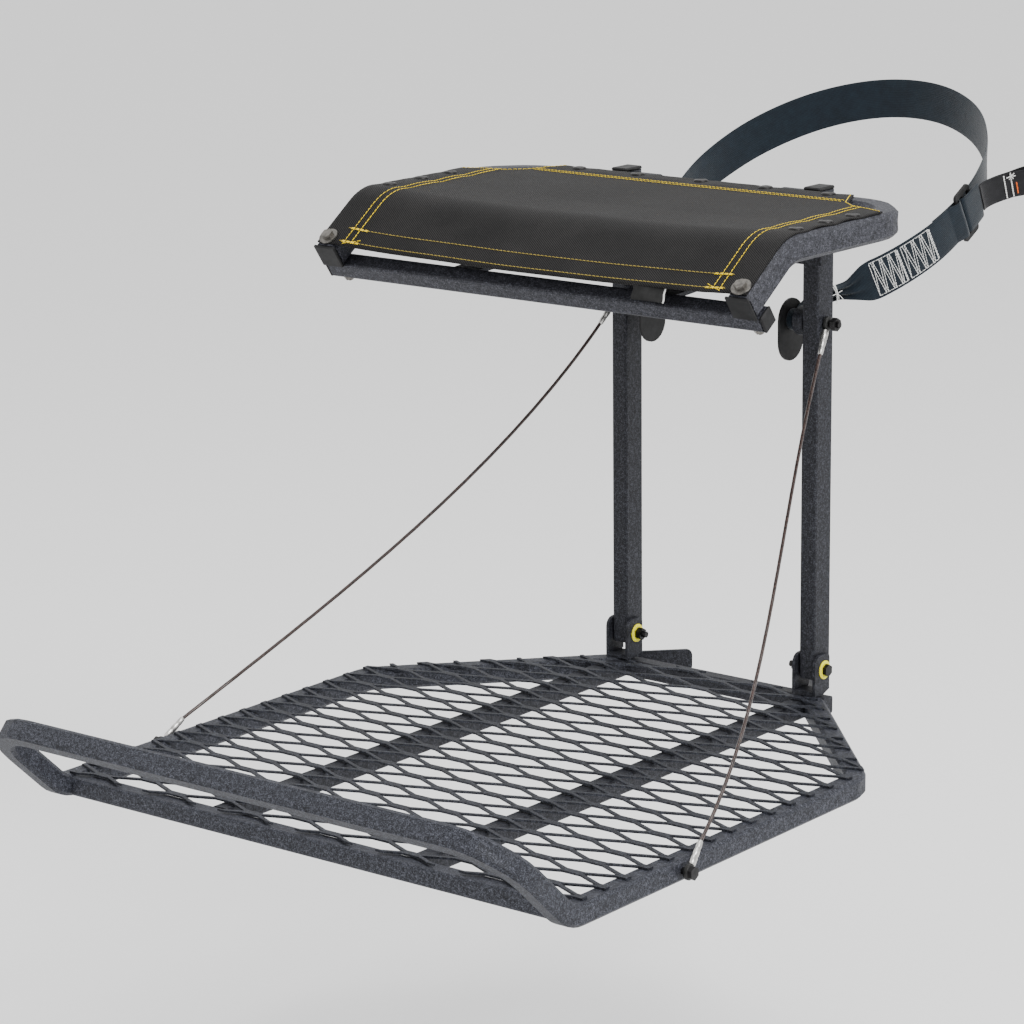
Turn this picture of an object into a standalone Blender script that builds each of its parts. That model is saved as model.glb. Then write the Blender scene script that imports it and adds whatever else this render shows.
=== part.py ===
"""A hang-on tree stand with a folding mesh platform and a flip-up sling seat.

Metres, +Z up, -Y is the front. The frame is laid out from the centre plane of the two uprights
(Y = 0, Z = 0 at the top of the platform's cross bars) and moved to the trunk's face at the end.
"""

import bpy
import bmesh
from math import cos, hypot, pi, radians, sin, tan
from mathutils import Matrix, Vector

# Driving dimensions
PLATFORM_W = 0.762  # outer width of the platform, 30 inches
LOOP_T = 0.0254  # square tube of the platform's outer loop
BAR_T = 0.0222  # square tube of the cross bars and ribs
LOOP_Z = -0.0111  # centre line of the loop
BAR_Z = -BAR_T / 2  # centre line of the bars, whose tops lie at Z = 0
FRONT_BAR_Y = -0.7824
REAR_BAR_Y = -0.0071
RAIL_BEND_Y = -0.2496  # where the side rails turn in towards the uprights
NECK_X = 0.1447  # centre line of the slanting rails at NECK_Y
NECK_Y = -0.0086
FOOTREST_BEND_Y = -0.7818
FOOTREST_BEND_R = 0.045
FOOTREST_TILT = radians(43)
FOOTREST_LEG = 0.132  # straight run after the bend, up to the footrest bar
FOOTREST_CORNER_R = 0.065
RAIL_BEND_R = 0.045
RAIL_BOLT_Y = -0.610  # lower ends of the cables, on the side rails

UPRIGHT_X = 0.1433
UPRIGHT_W = 0.0225
UPRIGHT_D = 0.0353
UPRIGHT_Z0 = 0.022
UPRIGHT_Z1 = 0.628

FOLD_Y = -0.004  # platform's folding axis
FOLD_Z = 0.0335
SEAT_AXIS_Z = 0.615  # seat's flip axis, at Y = 0
ANCHOR_Z = 0.4665  # strap anchors and cable bolts, at Y = 0
CLEVIS_T = 0.004
CLEVIS_GAP = 0.0018  # between an ear and the upright
CLEVIS_OUTER = UPRIGHT_W / 2 + CLEVIS_GAP + CLEVIS_T

SEAT_T = 0.03175  # square tube of the seat loop
SEAT_X = 0.2990  # centre lines of the seat's side rails
SEAT_REAR_Y = -0.0425
SEAT_Z = 0.6136
SEAT_CORNER_R = 0.078
SEAT_BEND_Y = -0.290
SEAT_BEND_R = 0.060
SEAT_SLOPE = radians(35)
SEAT_TUBE_END = -0.4015  # end of the rails, measured along the unbent tube
BOLT_RUN = 0.100  # front bolts, along the unbent rail from the start of the bend
CROSSBAR_HALF = 0.3135
FABRIC_T = 0.0024
FABRIC_HALF = 0.3105
FABRIC_NOTCH = ((-0.121, 0.3105), (-0.101, 0.261), (-0.081, 0.238), (-0.0325, 0.214))  # Y, half width
STRUT_T = 0.005
STRUT_W = 0.038

GRID_LWD = 0.116  # expanded metal, long way of the opening
GRID_SWD = 0.0387  # short way of the opening
GRID_BOND_HALF = 0.012
GRID_OPENING_HALF = 0.0146
GRID_X = 0.0245  # centre of the opening nearest the middle
GRID_Y = -0.0065  # the first openings' centres, behind the sheet's front edge
GRID_T = 0.0024
GRID_Z = 0.0032

TRUNK_Y = 0.227  # centre of the trunk that the strap goes round
STRAP_R = 0.205  # inner layer of webbing, middle of its thickness
STRAP_TILT = 0.518  # rise of the strap per metre of depth
STRAP_Z = 0.4563  # height of the strap's plane at Y = 0
WEBBING_T = 0.0018
WEBBING_W = 0.050

FRAME_Y = -0.024  # the trunk's face lies this far behind the uprights' centre plane
GAP = 0.0003
BOLT_R = 0.0040
PIN_R = 0.005
HEX_HALF = 0.0068  # half the width across the flats of bolt heads and nuts
WASHER_R = 0.0118
SIDES = ((-1, "left"), (1, "right"))


# Scene and helpers

for old in list(bpy.data.objects):
    bpy.data.objects.remove(old, do_unlink=True)

PARTS = bpy.data.collections.new("tree_stand")
GUIDES = bpy.data.collections.new("cutters")
bpy.context.scene.collection.children.link(PARTS)
bpy.context.scene.collection.children.link(GUIDES)

STEEL_BLUE = (0.055, 0.062, 0.080)
STEEL_DARK = (0.030, 0.033, 0.040)
BLACK = (0.012, 0.012, 0.013)
ZINC = (0.42, 0.40, 0.36)
BRIGHT = (0.62, 0.62, 0.64)
YELLOW = (0.75, 0.66, 0.03)
NAVY = (0.010, 0.022, 0.040)


def material(name, colour, roughness, metallic=0.0):
    made = bpy.data.materials.new(name)
    made.use_nodes = True
    shader = made.node_tree.nodes["Principled BSDF"]
    shader.inputs["Base Color"].default_value = (*colour, 1.0)
    shader.inputs["Roughness"].default_value = roughness
    shader.inputs["Metallic"].default_value = metallic
    return made


def dress(obj, name, look, smooth_below=40):
    """Names the object, gives it its own material and smooth shading, and files it with the parts."""
    obj.name = name
    obj.data.name = name
    obj.data.materials.clear()
    obj.data.materials.append(material(name, *look))
    obj.data.shade_smooth()
    obj.data.set_sharp_from_angle(angle=radians(smooth_below))
    for collection in list(obj.users_collection):
        collection.objects.unlink(obj)
    PARTS.objects.link(obj)
    return obj


def guide(obj):
    for collection in list(obj.users_collection):
        collection.objects.unlink(obj)
    GUIDES.objects.link(obj)
    obj.hide_render = True
    obj.display_type = "WIRE"
    return obj


def mesh_object(bm, name):
    bmesh.ops.recalc_face_normals(bm, faces=bm.faces)
    mesh = bpy.data.meshes.new(name)
    bm.to_mesh(mesh)
    bm.free()
    obj = bpy.data.objects.new(name, mesh)
    PARTS.objects.link(obj)
    return obj


def solid_of_curve(curve_obj, name):
    """Turns a curve with its caps into one welded mesh object."""
    bpy.context.view_layer.update()
    evaluated = curve_obj.evaluated_get(bpy.context.evaluated_depsgraph_get())
    mesh = bpy.data.meshes.new_from_object(evaluated)
    mesh.transform(curve_obj.matrix_world)
    bpy.data.objects.remove(curve_obj, do_unlink=True)
    bm = bmesh.new()
    bm.from_mesh(mesh)
    bpy.data.meshes.remove(mesh)
    bmesh.ops.remove_doubles(bm, verts=bm.verts, dist=1e-6)
    return mesh_object(bm, name)


def add_spline(curve, points, closed):
    spline = curve.splines.new("POLY")
    spline.points.add(len(points) - 1)
    for point, place in zip(spline.points, points):
        point.co = (*place, 1.0)
    spline.use_cyclic_u = closed


def placed(axis, centre):
    """Matrix that turns local +Z to the given axis and moves the origin to the centre."""
    return Matrix.Translation(centre) @ Vector(axis).to_track_quat("Z", "Y").to_matrix().to_4x4()


# Local X, Y of a plate drawn in the side view: local X runs along world Y, local Y along world Z.
SIDE_VIEW = Matrix(((0, 0, 1, 0), (1, 0, 0, 0), (0, 1, 0, 0), (0, 0, 0, 1)))


def plate(name, outlines, thickness, matrix):
    """A flat plate from a closed outline and its holes, centred on its thickness."""
    curve = bpy.data.curves.new(name, "CURVE")
    curve.dimensions = "2D"
    curve.fill_mode = "BOTH"
    curve.extrude = thickness / 2
    for outline in outlines:
        add_spline(curve, [(x, y, 0.0) for x, y in outline], True)
    obj = bpy.data.objects.new(name, curve)
    PARTS.objects.link(obj)
    obj.matrix_world = matrix
    return solid_of_curve(obj, name)


def side_plate(name, outlines, thickness, x):
    """A plate whose outline is given as (Y, Z), standing across X."""
    return plate(name, outlines, thickness, Matrix.Translation((x, 0, 0)) @ SIDE_VIEW)


def circle(centre, radius, count=20, start=0.0, end=2 * pi):
    """Points on a full circle, or on an arc with both ends."""
    full = abs(end - start) > 2 * pi - 1e-6
    steps = count if full else count - 1
    angles = [start + (end - start) * i / steps for i in range(count)]
    return [(centre[0] + radius * cos(a), centre[1] + radius * sin(a)) for a in angles]


def box(name, size, centre, bevel=0.0, turn=None):
    bm = bmesh.new()
    bmesh.ops.create_cube(bm, size=1.0)
    bmesh.ops.scale(bm, vec=size, verts=bm.verts)
    if bevel:
        bmesh.ops.bevel(bm, geom=bm.edges, offset=bevel, segments=1, affect="EDGES")
    if turn:
        bmesh.ops.transform(bm, matrix=turn, verts=bm.verts)
    bmesh.ops.translate(bm, vec=centre, verts=bm.verts)
    return mesh_object(bm, name)


def tube_bar(name, size, centre, along, corner=0.003, turn=None):
    """A straight bar of square tube: the four long edges are rounded, the ends are cut square."""
    bm = bmesh.new()
    bmesh.ops.create_cube(bm, size=1.0)
    bmesh.ops.scale(bm, vec=size, verts=bm.verts)
    long_edges = [e for e in bm.edges if abs((e.verts[0].co - e.verts[1].co).normalized()[along]) > 0.9]
    bmesh.ops.bevel(bm, geom=long_edges, offset=corner, segments=2, profile=0.5, affect="EDGES")
    if turn:
        bmesh.ops.transform(bm, matrix=turn, verts=bm.verts)
    bmesh.ops.translate(bm, vec=centre, verts=bm.verts)
    return mesh_object(bm, name)


def rod(name, radius, start, end, sides=20, tip_radius=None):
    start, end = Vector(start), Vector(end)
    bm = bmesh.new()
    far = radius if tip_radius is None else tip_radius
    bmesh.ops.create_cone(
        bm, cap_ends=True, segments=sides, radius1=radius, radius2=far, depth=(end - start).length
    )
    bmesh.ops.transform(bm, matrix=placed(end - start, (start + end) / 2), verts=bm.verts)
    return mesh_object(bm, name)


def turned(name, profile, axis, base, sides=20):
    """A solid of revolution: (radius, height) points from the top of the axis down to its foot."""
    mesh = bpy.data.meshes.new(name)
    verts = [(radius, 0.0, height) for radius, height in profile]
    mesh.from_pydata(verts, [(i, i + 1) for i in range(len(verts) - 1)], [])
    obj = bpy.data.objects.new(name, mesh)
    PARTS.objects.link(obj)
    screw = obj.modifiers.new("turn", "SCREW")
    screw.steps = sides
    screw.render_steps = sides
    screw.use_merge_vertices = True
    screw.merge_threshold = 1e-5
    obj.matrix_world = placed(axis, base)
    return solid_of_curve(obj, name)


def combine(obj, others, operation):
    """Joins the others to the object or cuts them out of it, and removes them."""
    for other in others:
        change = obj.modifiers.new(operation.lower(), "BOOLEAN")
        change.operation = operation
        change.object = other
        change.solver = "EXACT"
    bpy.context.view_layer.update()
    evaluated = obj.evaluated_get(bpy.context.evaluated_depsgraph_get())
    mesh = bpy.data.meshes.new_from_object(evaluated)
    obj.modifiers.clear()
    old = obj.data
    obj.data = mesh
    bpy.data.meshes.remove(old)
    for other in others:
        bpy.data.objects.remove(other, do_unlink=True)
    return obj


def drill(obj, holes):
    """Cuts round holes, each given as (radius, start, end)."""
    cutters = [guide(rod("drill", radius, start, end, 16)) for radius, start, end in holes]
    return combine(obj, cutters, "DIFFERENCE")


def trim(obj, point, normal):
    """Cuts off what lies on the normal's side of a plane and closes the cut."""
    bm = bmesh.new()
    bm.from_mesh(obj.data)
    geometry = list(bm.verts) + list(bm.edges) + list(bm.faces)
    cut = bmesh.ops.bisect_plane(
        bm, geom=geometry, dist=1e-6, plane_co=point, plane_no=normal, clear_outer=True
    )
    rim = [e for e in cut["geom_cut"] if isinstance(e, bmesh.types.BMEdge)]
    bmesh.ops.contextual_create(bm, geom=rim)
    bmesh.ops.recalc_face_normals(bm, faces=bm.faces)
    bm.to_mesh(obj.data)
    bm.free()
    return obj


def square_section(width, corner):
    """Outline of a square tube with a point in the middle of each flat, so that a flat can be dented."""
    half = width / 2
    points = []
    for quarter in range(4):
        a = quarter * pi / 2
        corner_x, corner_y = half - corner, half - corner
        arc = [(half, corner_y), (corner_x, half), (0.0, half)]
        points += [(x * cos(a) - y * sin(a), x * sin(a) + y * cos(a)) for x, y in arc]
    return points


def swept_square(name, path, width, corner):
    """Square tube along a flat path, kept upright; the path stays open and its ends are capped."""
    section = bpy.data.curves.new(name + "_section", "CURVE")
    section.dimensions = "2D"
    add_spline(section, [(x, y, 0.0) for x, y in square_section(width, corner)], True)
    section_obj = guide(bpy.data.objects.new(name + "_section", section))
    curve = bpy.data.curves.new(name, "CURVE")
    curve.dimensions = "3D"
    curve.twist_mode = "Z_UP"
    curve.bevel_mode = "OBJECT"
    curve.bevel_object = section_obj
    curve.use_fill_caps = True
    add_spline(curve, path, False)
    obj = bpy.data.objects.new(name, curve)
    PARTS.objects.link(obj)
    solid = solid_of_curve(obj, name)
    bpy.data.objects.remove(section_obj, do_unlink=True)
    return solid


def rounded_path(corners, radii, per_corner=6):
    """Flat path through the corners, each replaced by an arc of its own radius."""
    path = [corners[0]]
    for i in range(1, len(corners) - 1):
        before, here, after = (Vector(corners[j]) for j in (i - 1, i, i + 1))
        into, out = (here - before).normalized(), (after - here).normalized()
        turn = into.angle(out)
        reach = radii[i - 1] * tan(turn / 2)
        side = 1.0 if into.x * out.y - into.y * out.x > 0 else -1.0
        centre = here - into * reach + Vector((-into.y, into.x)) * side * radii[i - 1]
        first = here - into * reach - centre
        for step in range(per_corner + 1):
            spoke = Matrix.Rotation(side * turn * step / per_corner, 2) @ first
            path.append(tuple(centre + spoke))
    path.append(corners[-1])
    return path


def with_rows(path, rows):
    """Adds points where a flat path crosses the given Y rows, so that it can be bent there."""
    dense = [path[0]]
    for (x0, y0), (x1, y1) in zip(path, path[1:]):
        inside = [y for y in rows if min(y0, y1) + 1e-4 < y < max(y0, y1) - 1e-4]
        inside.sort(reverse=y1 < y0)
        dense += [(x0 + (x1 - x0) * (y - y0) / (y1 - y0), y) for y in inside]
        dense.append((x1, y1))
    return dense


def bend_front(obj, start_y, centre_z, radius, angle, upward):
    """Bends everything in front of start_y about an X axis, keeping lengths along the centre line."""
    side = 1.0 if upward else -1.0
    for vertex in obj.data.vertices:
        run = start_y - vertex.co.y
        if run <= 0:
            continue
        lift = side * (vertex.co.z - centre_z)
        turned_by = min(run / radius, angle)
        rest = run - radius * turned_by
        forward = (radius - lift) * sin(turned_by) + rest * cos(turned_by)
        rise = radius - (radius - lift) * cos(turned_by) + rest * sin(turned_by)
        vertex.co.y = start_y - forward
        vertex.co.z = centre_z + side * rise
    obj.data.update()


def bend_rows(start_y, radius, angle, count):
    return [start_y - radius * angle * i / count for i in range(count + 1)]


def dent(obj, centre, inward, depth, reach):
    """Presses a shallow hollow into a wall, deepest at the centre."""
    centre, inward = Vector(centre), Vector(inward).normalized()
    for vertex in obj.data.vertices:
        away = (vertex.co - centre).length
        if away < reach:
            vertex.co += inward * depth * cos(pi / 2 * away / reach) ** 2


def shift_all_to_trunk_face():
    for obj in PARTS.objects:
        if obj.parent is None:
            obj.location.y += FRAME_Y


def hang_on_axis(name, place, pieces):
    """Parents the pieces to an empty that stands on their joint's axis."""
    empty = bpy.data.objects.new(name, None)
    PARTS.objects.link(empty)
    empty.location = place
    bpy.context.view_layer.update()
    for piece in pieces:
        obj = bpy.data.objects[piece]
        obj.parent = empty
        obj.matrix_parent_inverse = empty.matrix_world.inverted()
    return empty


# Platform

POWDER = (STEEL_BLUE, 0.6, 0.0)
POWDER_DARK = (STEEL_DARK, 0.6, 0.0)


def build_platform_loop():
    """One bent tube: slanting rail, side rail, footrest, side rail, slanting rail."""
    rail_x = PLATFORM_W / 2 - LOOP_T / 2
    bend_arc = FOOTREST_BEND_R * FOOTREST_TILT
    footrest_y = FOOTREST_BEND_Y - bend_arc - FOOTREST_LEG
    slope = (NECK_Y - RAIL_BEND_Y) / (rail_x - NECK_X)
    start_y = 0.01
    start_x = NECK_X - (start_y - NECK_Y) / slope
    corners = [
        (-start_x, start_y),
        (-rail_x, RAIL_BEND_Y),
        (-rail_x, footrest_y),
        (rail_x, footrest_y),
        (rail_x, RAIL_BEND_Y),
        (start_x, start_y),
    ]
    radii = [RAIL_BEND_R, FOOTREST_CORNER_R, FOOTREST_CORNER_R, RAIL_BEND_R]
    path = rounded_path(corners, radii)
    path = with_rows(path, bend_rows(FOOTREST_BEND_Y, FOOTREST_BEND_R, FOOTREST_TILT, 5))
    loop = swept_square("platform_loop", [(x, y, LOOP_Z) for x, y in path], LOOP_T, 0.004)
    wall = LOOP_T / 2
    inset = 0.30 * FOOTREST_CORNER_R - 0.7 * wall  # from the sharp corner to the round one's outside
    for side, _ in SIDES:
        corner = (side * (rail_x - inset), footrest_y + inset, LOOP_Z)
        dent(loop, corner, (-side, 1, 0), 0.0035, 0.022)
        bend = (side * (rail_x - 0.002 + wall), RAIL_BEND_Y - 0.001, LOOP_Z)
        dent(loop, bend, (-side, -0.35, 0), 0.0020, 0.016)
    bend_front(loop, FOOTREST_BEND_Y, LOOP_Z, FOOTREST_BEND_R, FOOTREST_TILT, upward=True)
    trim(loop, (0, REAR_BAR_Y - BAR_T / 2 - GAP, 0), (0, 1, 0))
    outer, depth = PLATFORM_W / 2 + 0.01, PLATFORM_W / 2 - 0.014
    for side, _ in SIDES:
        inner_end = (side * depth, RAIL_BOLT_Y, LOOP_Z)
        outer_end = (side * outer, RAIL_BOLT_Y, LOOP_Z)
        drill(loop, [(BOLT_R + GAP, inner_end, outer_end)])
    return dress(loop, "platform_loop", POWDER)


def build_bars():
    rail_inner = PLATFORM_W / 2 - LOOP_T
    front = tube_bar("front_bar", (2 * (rail_inner - GAP), BAR_T, BAR_T), (0, FRONT_BAR_Y, BAR_Z), 0)
    dress(front, "front_bar", POWDER_DARK)
    rear = tube_bar("rear_bar", (0.336, BAR_T, BAR_T), (0, REAR_BAR_Y, BAR_Z), 0)
    dress(rear, "rear_bar", POWDER_DARK)
    rib_front = FRONT_BAR_Y + BAR_T / 2 + GAP
    rib_back = REAR_BAR_Y - BAR_T / 2 - GAP
    slant = Vector((NECK_X - (PLATFORM_W / 2 - LOOP_T / 2), NECK_Y - RAIL_BEND_Y, 0)).normalized()
    for side, word in SIDES:
        size = (BAR_T, rib_back - rib_front, BAR_T)
        rib = tube_bar("deck_rib_" + word, size, (side * UPRIGHT_X, (rib_front + rib_back) / 2, BAR_Z), 1)
        outward = Vector((side * slant.y, -slant.x, 0))
        face = Vector((side * NECK_X, NECK_Y, 0)) - outward * (LOOP_T / 2 + GAP)
        trim(rib, face, outward)
        dress(rib, "deck_rib_" + word, POWDER_DARK)


def grille_openings(x_half, y_front, y_back):
    """Hexagonal openings of the expanded metal, every other column half a pitch along."""
    openings = []
    half_length = GRID_LWD / 2 - GRID_BOND_HALF
    column_pitch = GRID_LWD / 2
    columns = int(x_half / column_pitch) + 2
    rows = int((y_back - y_front) / GRID_SWD) + 3
    for column in range(-columns, columns + 1):
        x = GRID_X + column * column_pitch
        for row in range(rows):
            y = y_front + GRID_Y + (row + 0.5 * (column % 2)) * GRID_SWD
            openings.append((x, y, half_length))
    return openings


def build_grille():
    """Expanded metal that lies on the bars, with its cut strands ending on the rails."""
    rail_x = PLATFORM_W / 2 - 0.008
    y_front, y_back = FRONT_BAR_Y - 0.004, -0.014
    corner_y = RAIL_BEND_Y + 0.010
    near_x, near_y = 0.168, -0.030
    outline = [
        (-rail_x, y_front), (rail_x, y_front), (rail_x, corner_y), (near_x, near_y),
        (0.120, near_y), (0.120, y_back), (-0.120, y_back), (-0.120, near_y),
        (-near_x, near_y), (-rail_x, corner_y),
    ]
    sheet = plate("deck_grille", [outline], GRID_T, Matrix.Translation((0, 0, GRID_Z)))
    bm = bmesh.new()
    for x, y, half in grille_openings(rail_x, y_front, y_back):
        left, right = x - GRID_BOND_HALF, x + GRID_BOND_HALF
        low, high = y - GRID_OPENING_HALF, y + GRID_OPENING_HALF
        ring = [(x + half, y), (right, high), (left, high), (x - half, y), (left, low), (right, low)]
        face = bm.faces.new([bm.verts.new((px, py, GRID_Z - 0.005)) for px, py in ring])
        grown = bmesh.ops.extrude_face_region(bm, geom=[face])
        top = [v for v in grown["geom"] if isinstance(v, bmesh.types.BMVert)]
        bmesh.ops.translate(bm, vec=(0, 0, 0.010), verts=top)
    cutter = guide(mesh_object(bm, "openings"))
    combine(sheet, [cutter], "DIFFERENCE")
    keep_largest_body(sheet)
    return dress(sheet, "deck_grille", POWDER)


def keep_largest_body(obj):
    """Removes loose slivers that a cut left beside the main body."""
    bm = bmesh.new()
    bm.from_mesh(obj.data)
    unseen = set(bm.verts)
    bodies = []
    while unseen:
        body, edge_of_body = set(), [unseen.pop()]
        while edge_of_body:
            vertex = edge_of_body.pop()
            body.add(vertex)
            near = {e.other_vert(vertex) for e in vertex.link_edges} & unseen
            unseen -= near
            edge_of_body += near
        bodies.append(body)
    bodies.sort(key=len)
    for body in bodies[:-1]:
        bmesh.ops.delete(bm, geom=list(body), context="VERTS")
    bm.to_mesh(obj.data)
    bm.free()


def build_clevis(side, word):
    """U-bracket welded on the platform: a web below the upright and an ear on each of its faces."""
    ear_x = CLEVIS_OUTER - CLEVIS_T / 2
    base, front, back, top = 0.0022, -0.024, 0.008, 0.053
    outline = [(front, base), (-0.005, base), (back, 0.007)]
    outline += circle((back - 0.006, top - 0.006), 0.006, 4, 0.0, pi / 2)
    outline += circle((front + 0.012, top - 0.012), 0.012, 5, pi / 2, pi)
    hole = circle((FOLD_Y, FOLD_Z), 0.0085, 16)
    places = [side * UPRIGHT_X + sign * ear_x for sign in (-1, 1)]
    ears = [side_plate("ear", [outline, hole], CLEVIS_T, x) for x in places]
    web = box("web", (2 * ear_x, 0.023, 0.0058), (side * UPRIGHT_X, -0.0123, base + 0.0029))
    clevis = combine(web, ears, "UNION")
    dress(clevis, "clevis_" + word, POWDER_DARK)


def build_fold_joint(side, word):
    """Bolt through the upright and both ears, with a flanged bushing in each ear and a lock nut inboard."""
    centre = side * UPRIGHT_X
    flange = 0.0022
    profile = [
        (BOLT_R + GAP, flange), (0.0095, flange), (0.0118, 0.0012), (0.0118, GAP),
        (0.0082, GAP), (0.0082, -0.0045), (BOLT_R + GAP, -0.0045), (BOLT_R + GAP, flange),
    ]
    for sign, place in ((1, "outer"), (-1, "inner")):
        out = side * sign
        seat = Vector((centre + out * CLEVIS_OUTER, FOLD_Y, FOLD_Z))
        bushing = turned("fold_bushing", profile, (out, 0, 0), seat, 16)
        dress(bushing, "fold_bushing_" + place + "_" + word, (YELLOW, 0.4, 0.0))
    reach = CLEVIS_OUTER + flange + GAP
    head_at = (centre + side * reach, FOLD_Y, FOLD_Z)
    nut_at = (centre - side * reach, FOLD_Y, FOLD_Z)
    tip = (centre - side * (reach + 0.013), FOLD_Y, FOLD_Z)
    bolt = hex_bolt("fold_bolt", head_at, (side, 0, 0), tip, HEX_HALF)
    dress(bolt, "fold_bolt_" + word, (BLACK, 0.4, 0.8))
    nut = hex_nut("fold_nut", nut_at, (-side, 0, 0), HEX_HALF, 0.0075)
    dress(nut, "fold_nut_" + word, (BLACK, 0.4, 0.8))


def hex_bolt(name, head_base, outward, tip, across, washer=0.0):
    """Hex head on a round shank; the head stands outward from its base, the shank runs to the tip."""
    base = Vector(head_base)
    out = Vector(outward).normalized()
    shank = rod(name, BOLT_R, base + out * 0.001, tip, 16)
    head_foot, head_top = base + out * washer * 0.9, base + out * (washer + 0.0048)
    extra = [rod("head", across / cos(pi / 6), head_foot, head_top, 6)]
    if washer:
        extra.append(rod("washer", WASHER_R, base, base + out * washer, 24))
    return combine(shank, extra, "UNION")


def hex_nut(name, base, outward, across, height):
    foot = Vector(base)
    out = Vector(outward).normalized()
    nut = rod(name, across / cos(pi / 6), foot, foot + out * height, 6)
    return drill(nut, [(BOLT_R + 0.0001, foot - out * 0.002, foot + out * (height + 0.002))])


def build_tree_blade(side, word):
    """Plate that bites the trunk, welded behind the rear bar and turned in at 45 degrees."""
    length, height, thick = 0.094, 0.029, 0.0045
    start = Vector((side * 0.154, -0.003, -0.0115))
    run = Vector((-side * cos(pi / 4), sin(pi / 4), 0))
    corner = 0.007
    outline = [(0, -height / 2)]
    outline += circle((length - corner, -height / 2 + corner), corner, 4, -pi / 2, 0)
    outline += circle((length - corner, height / 2 - corner), corner, 4, 0, pi / 2)
    outline += [(0, height / 2)]
    upright = Matrix((
        (run.x, 0, run.y, start.x), (run.y, 0, -run.x, start.y), (0, 1, 0, start.z), (0, 0, 0, 1)
    ))
    blade = plate("tree_blade", [outline], thick, upright)
    trim(blade, (0, REAR_BAR_Y + BAR_T / 2 + GAP, 0), (0, -1, 0))
    dress(blade, "tree_blade_" + word, POWDER_DARK)


# Uprights and cables

def build_upright(side, word):
    x = side * UPRIGHT_X
    size = (UPRIGHT_W, UPRIGHT_D, UPRIGHT_Z1 - UPRIGHT_Z0)
    bar = tube_bar("upright", size, (x, 0, (UPRIGHT_Z0 + UPRIGHT_Z1) / 2), 2)
    holes = []
    for y, z, radius in ((FOLD_Y, FOLD_Z, BOLT_R), (0, ANCHOR_Z, BOLT_R), (0, SEAT_AXIS_Z, PIN_R)):
        holes.append((radius + GAP, (x - UPRIGHT_W, y, z), (x + UPRIGHT_W, y, z)))
    drill(bar, holes)
    dress(bar, "upright_" + word, POWDER_DARK)
    cap_t = 0.0042
    size = (UPRIGHT_W + 0.001, UPRIGHT_D - 0.001, cap_t)
    cap = box("cap", size, (x, 0, UPRIGHT_Z1 + GAP + cap_t / 2), 0.0015)
    dress(cap, "upright_cap_" + word, (BLACK, 0.5, 0.0))


def build_upright_tie():
    length = 2 * (UPRIGHT_X - UPRIGHT_W / 2 - GAP)
    tie = tube_bar("tie", (length, 0.019, 0.019), (0, 0.004, 0.560), 0)
    dress(tie, "upright_tie", POWDER_DARK)


def build_anchor(side, word):
    """Strap anchor: a spool inside the upright, an oblong keeper plate on it, one bolt through all."""
    inner_face = UPRIGHT_X - UPRIGHT_W / 2
    keeper_x, keeper_t = 0.104, 0.003
    root = Vector((side * (inner_face - GAP), 0, ANCHOR_Z))
    deep = inner_face - GAP - 0.116
    stem = inner_face - GAP - (keeper_x + keeper_t / 2 + GAP)
    bore = BOLT_R + GAP
    profile = [
        (bore, stem), (0.008, stem), (0.008, deep), (0.016, deep), (0.018, deep - 0.002),
        (0.018, 0), (bore, 0), (bore, stem),
    ]
    dress(turned("lug", profile, (-side, 0, 0), root, 18), "strap_lug_" + word, POWDER)
    top = circle((0, ANCHOR_Z), 0.026, 12, 0, pi)
    foot = circle((0, ANCHOR_Z - 0.0255), 0.026, 12, pi, 2 * pi)
    keeper = side_plate("keeper", [top + foot, circle((0, ANCHOR_Z), bore, 16)], keeper_t, side * keeper_x)
    dress(keeper, "keeper_plate_" + word, (BLACK, 0.45, 0.0))
    head = (side * (keeper_x - keeper_t / 2 - GAP), 0, ANCHOR_Z)
    bolt = hex_bolt("anchor_bolt", head, (-side, 0, 0), (side * 0.1750, 0, ANCHOR_Z), HEX_HALF)
    dress(bolt, "anchor_bolt_" + word, (BLACK, 0.4, 0.8))
    nut = hex_nut("anchor_nut", (side * 0.1652, 0, ANCHOR_Z), (side, 0, 0), 0.0072, 0.0068)
    dress(nut, "anchor_nut_" + word, (BLACK, 0.4, 0.8))


EYE_UP = Vector((0.1579, 0, ANCHOR_Z))
EYE_LOW = Vector((0.3890, RAIL_BOLT_Y, LOOP_Z))
EYE_T = 0.0060
EYE_TO_FERRULE = 0.0125
FERRULE = 0.030
CABLE_R = 0.0021
CABLE_BOW = {"left": 0.036, "right": 0.048}


def cable_point(side, word, share):
    """Point on a coated cable that bows slightly down and back above its lower ferrule."""
    start = Vector((side * EYE_UP.x, EYE_UP.y, EYE_UP.z))
    end = Vector((side * EYE_LOW.x, EYE_LOW.y, EYE_LOW.z))
    length = (end - start).length
    run = (end - start) / length
    level = Vector((run.x, run.y, 0))
    square = Vector((level.x * run.z, level.y * run.z, -level.length_squared))
    down_and_back = square / level.length
    bowed = min(share / (1 - (EYE_TO_FERRULE + FERRULE) / length), 1.0)
    point = start.lerp(end, share) + down_and_back * CABLE_BOW[word] * 4 * bowed * (1 - bowed)
    upper_slope, lower_slope = 0.66, 0.53
    outward = (
        upper_slope * (share**3 - 2 * share**2 + share)
        + 3 * share**2 - 2 * share**3
        + lower_slope * (share**3 - share**2)
    )
    point.x += (end.x - start.x) * (outward - share)
    return point


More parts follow.
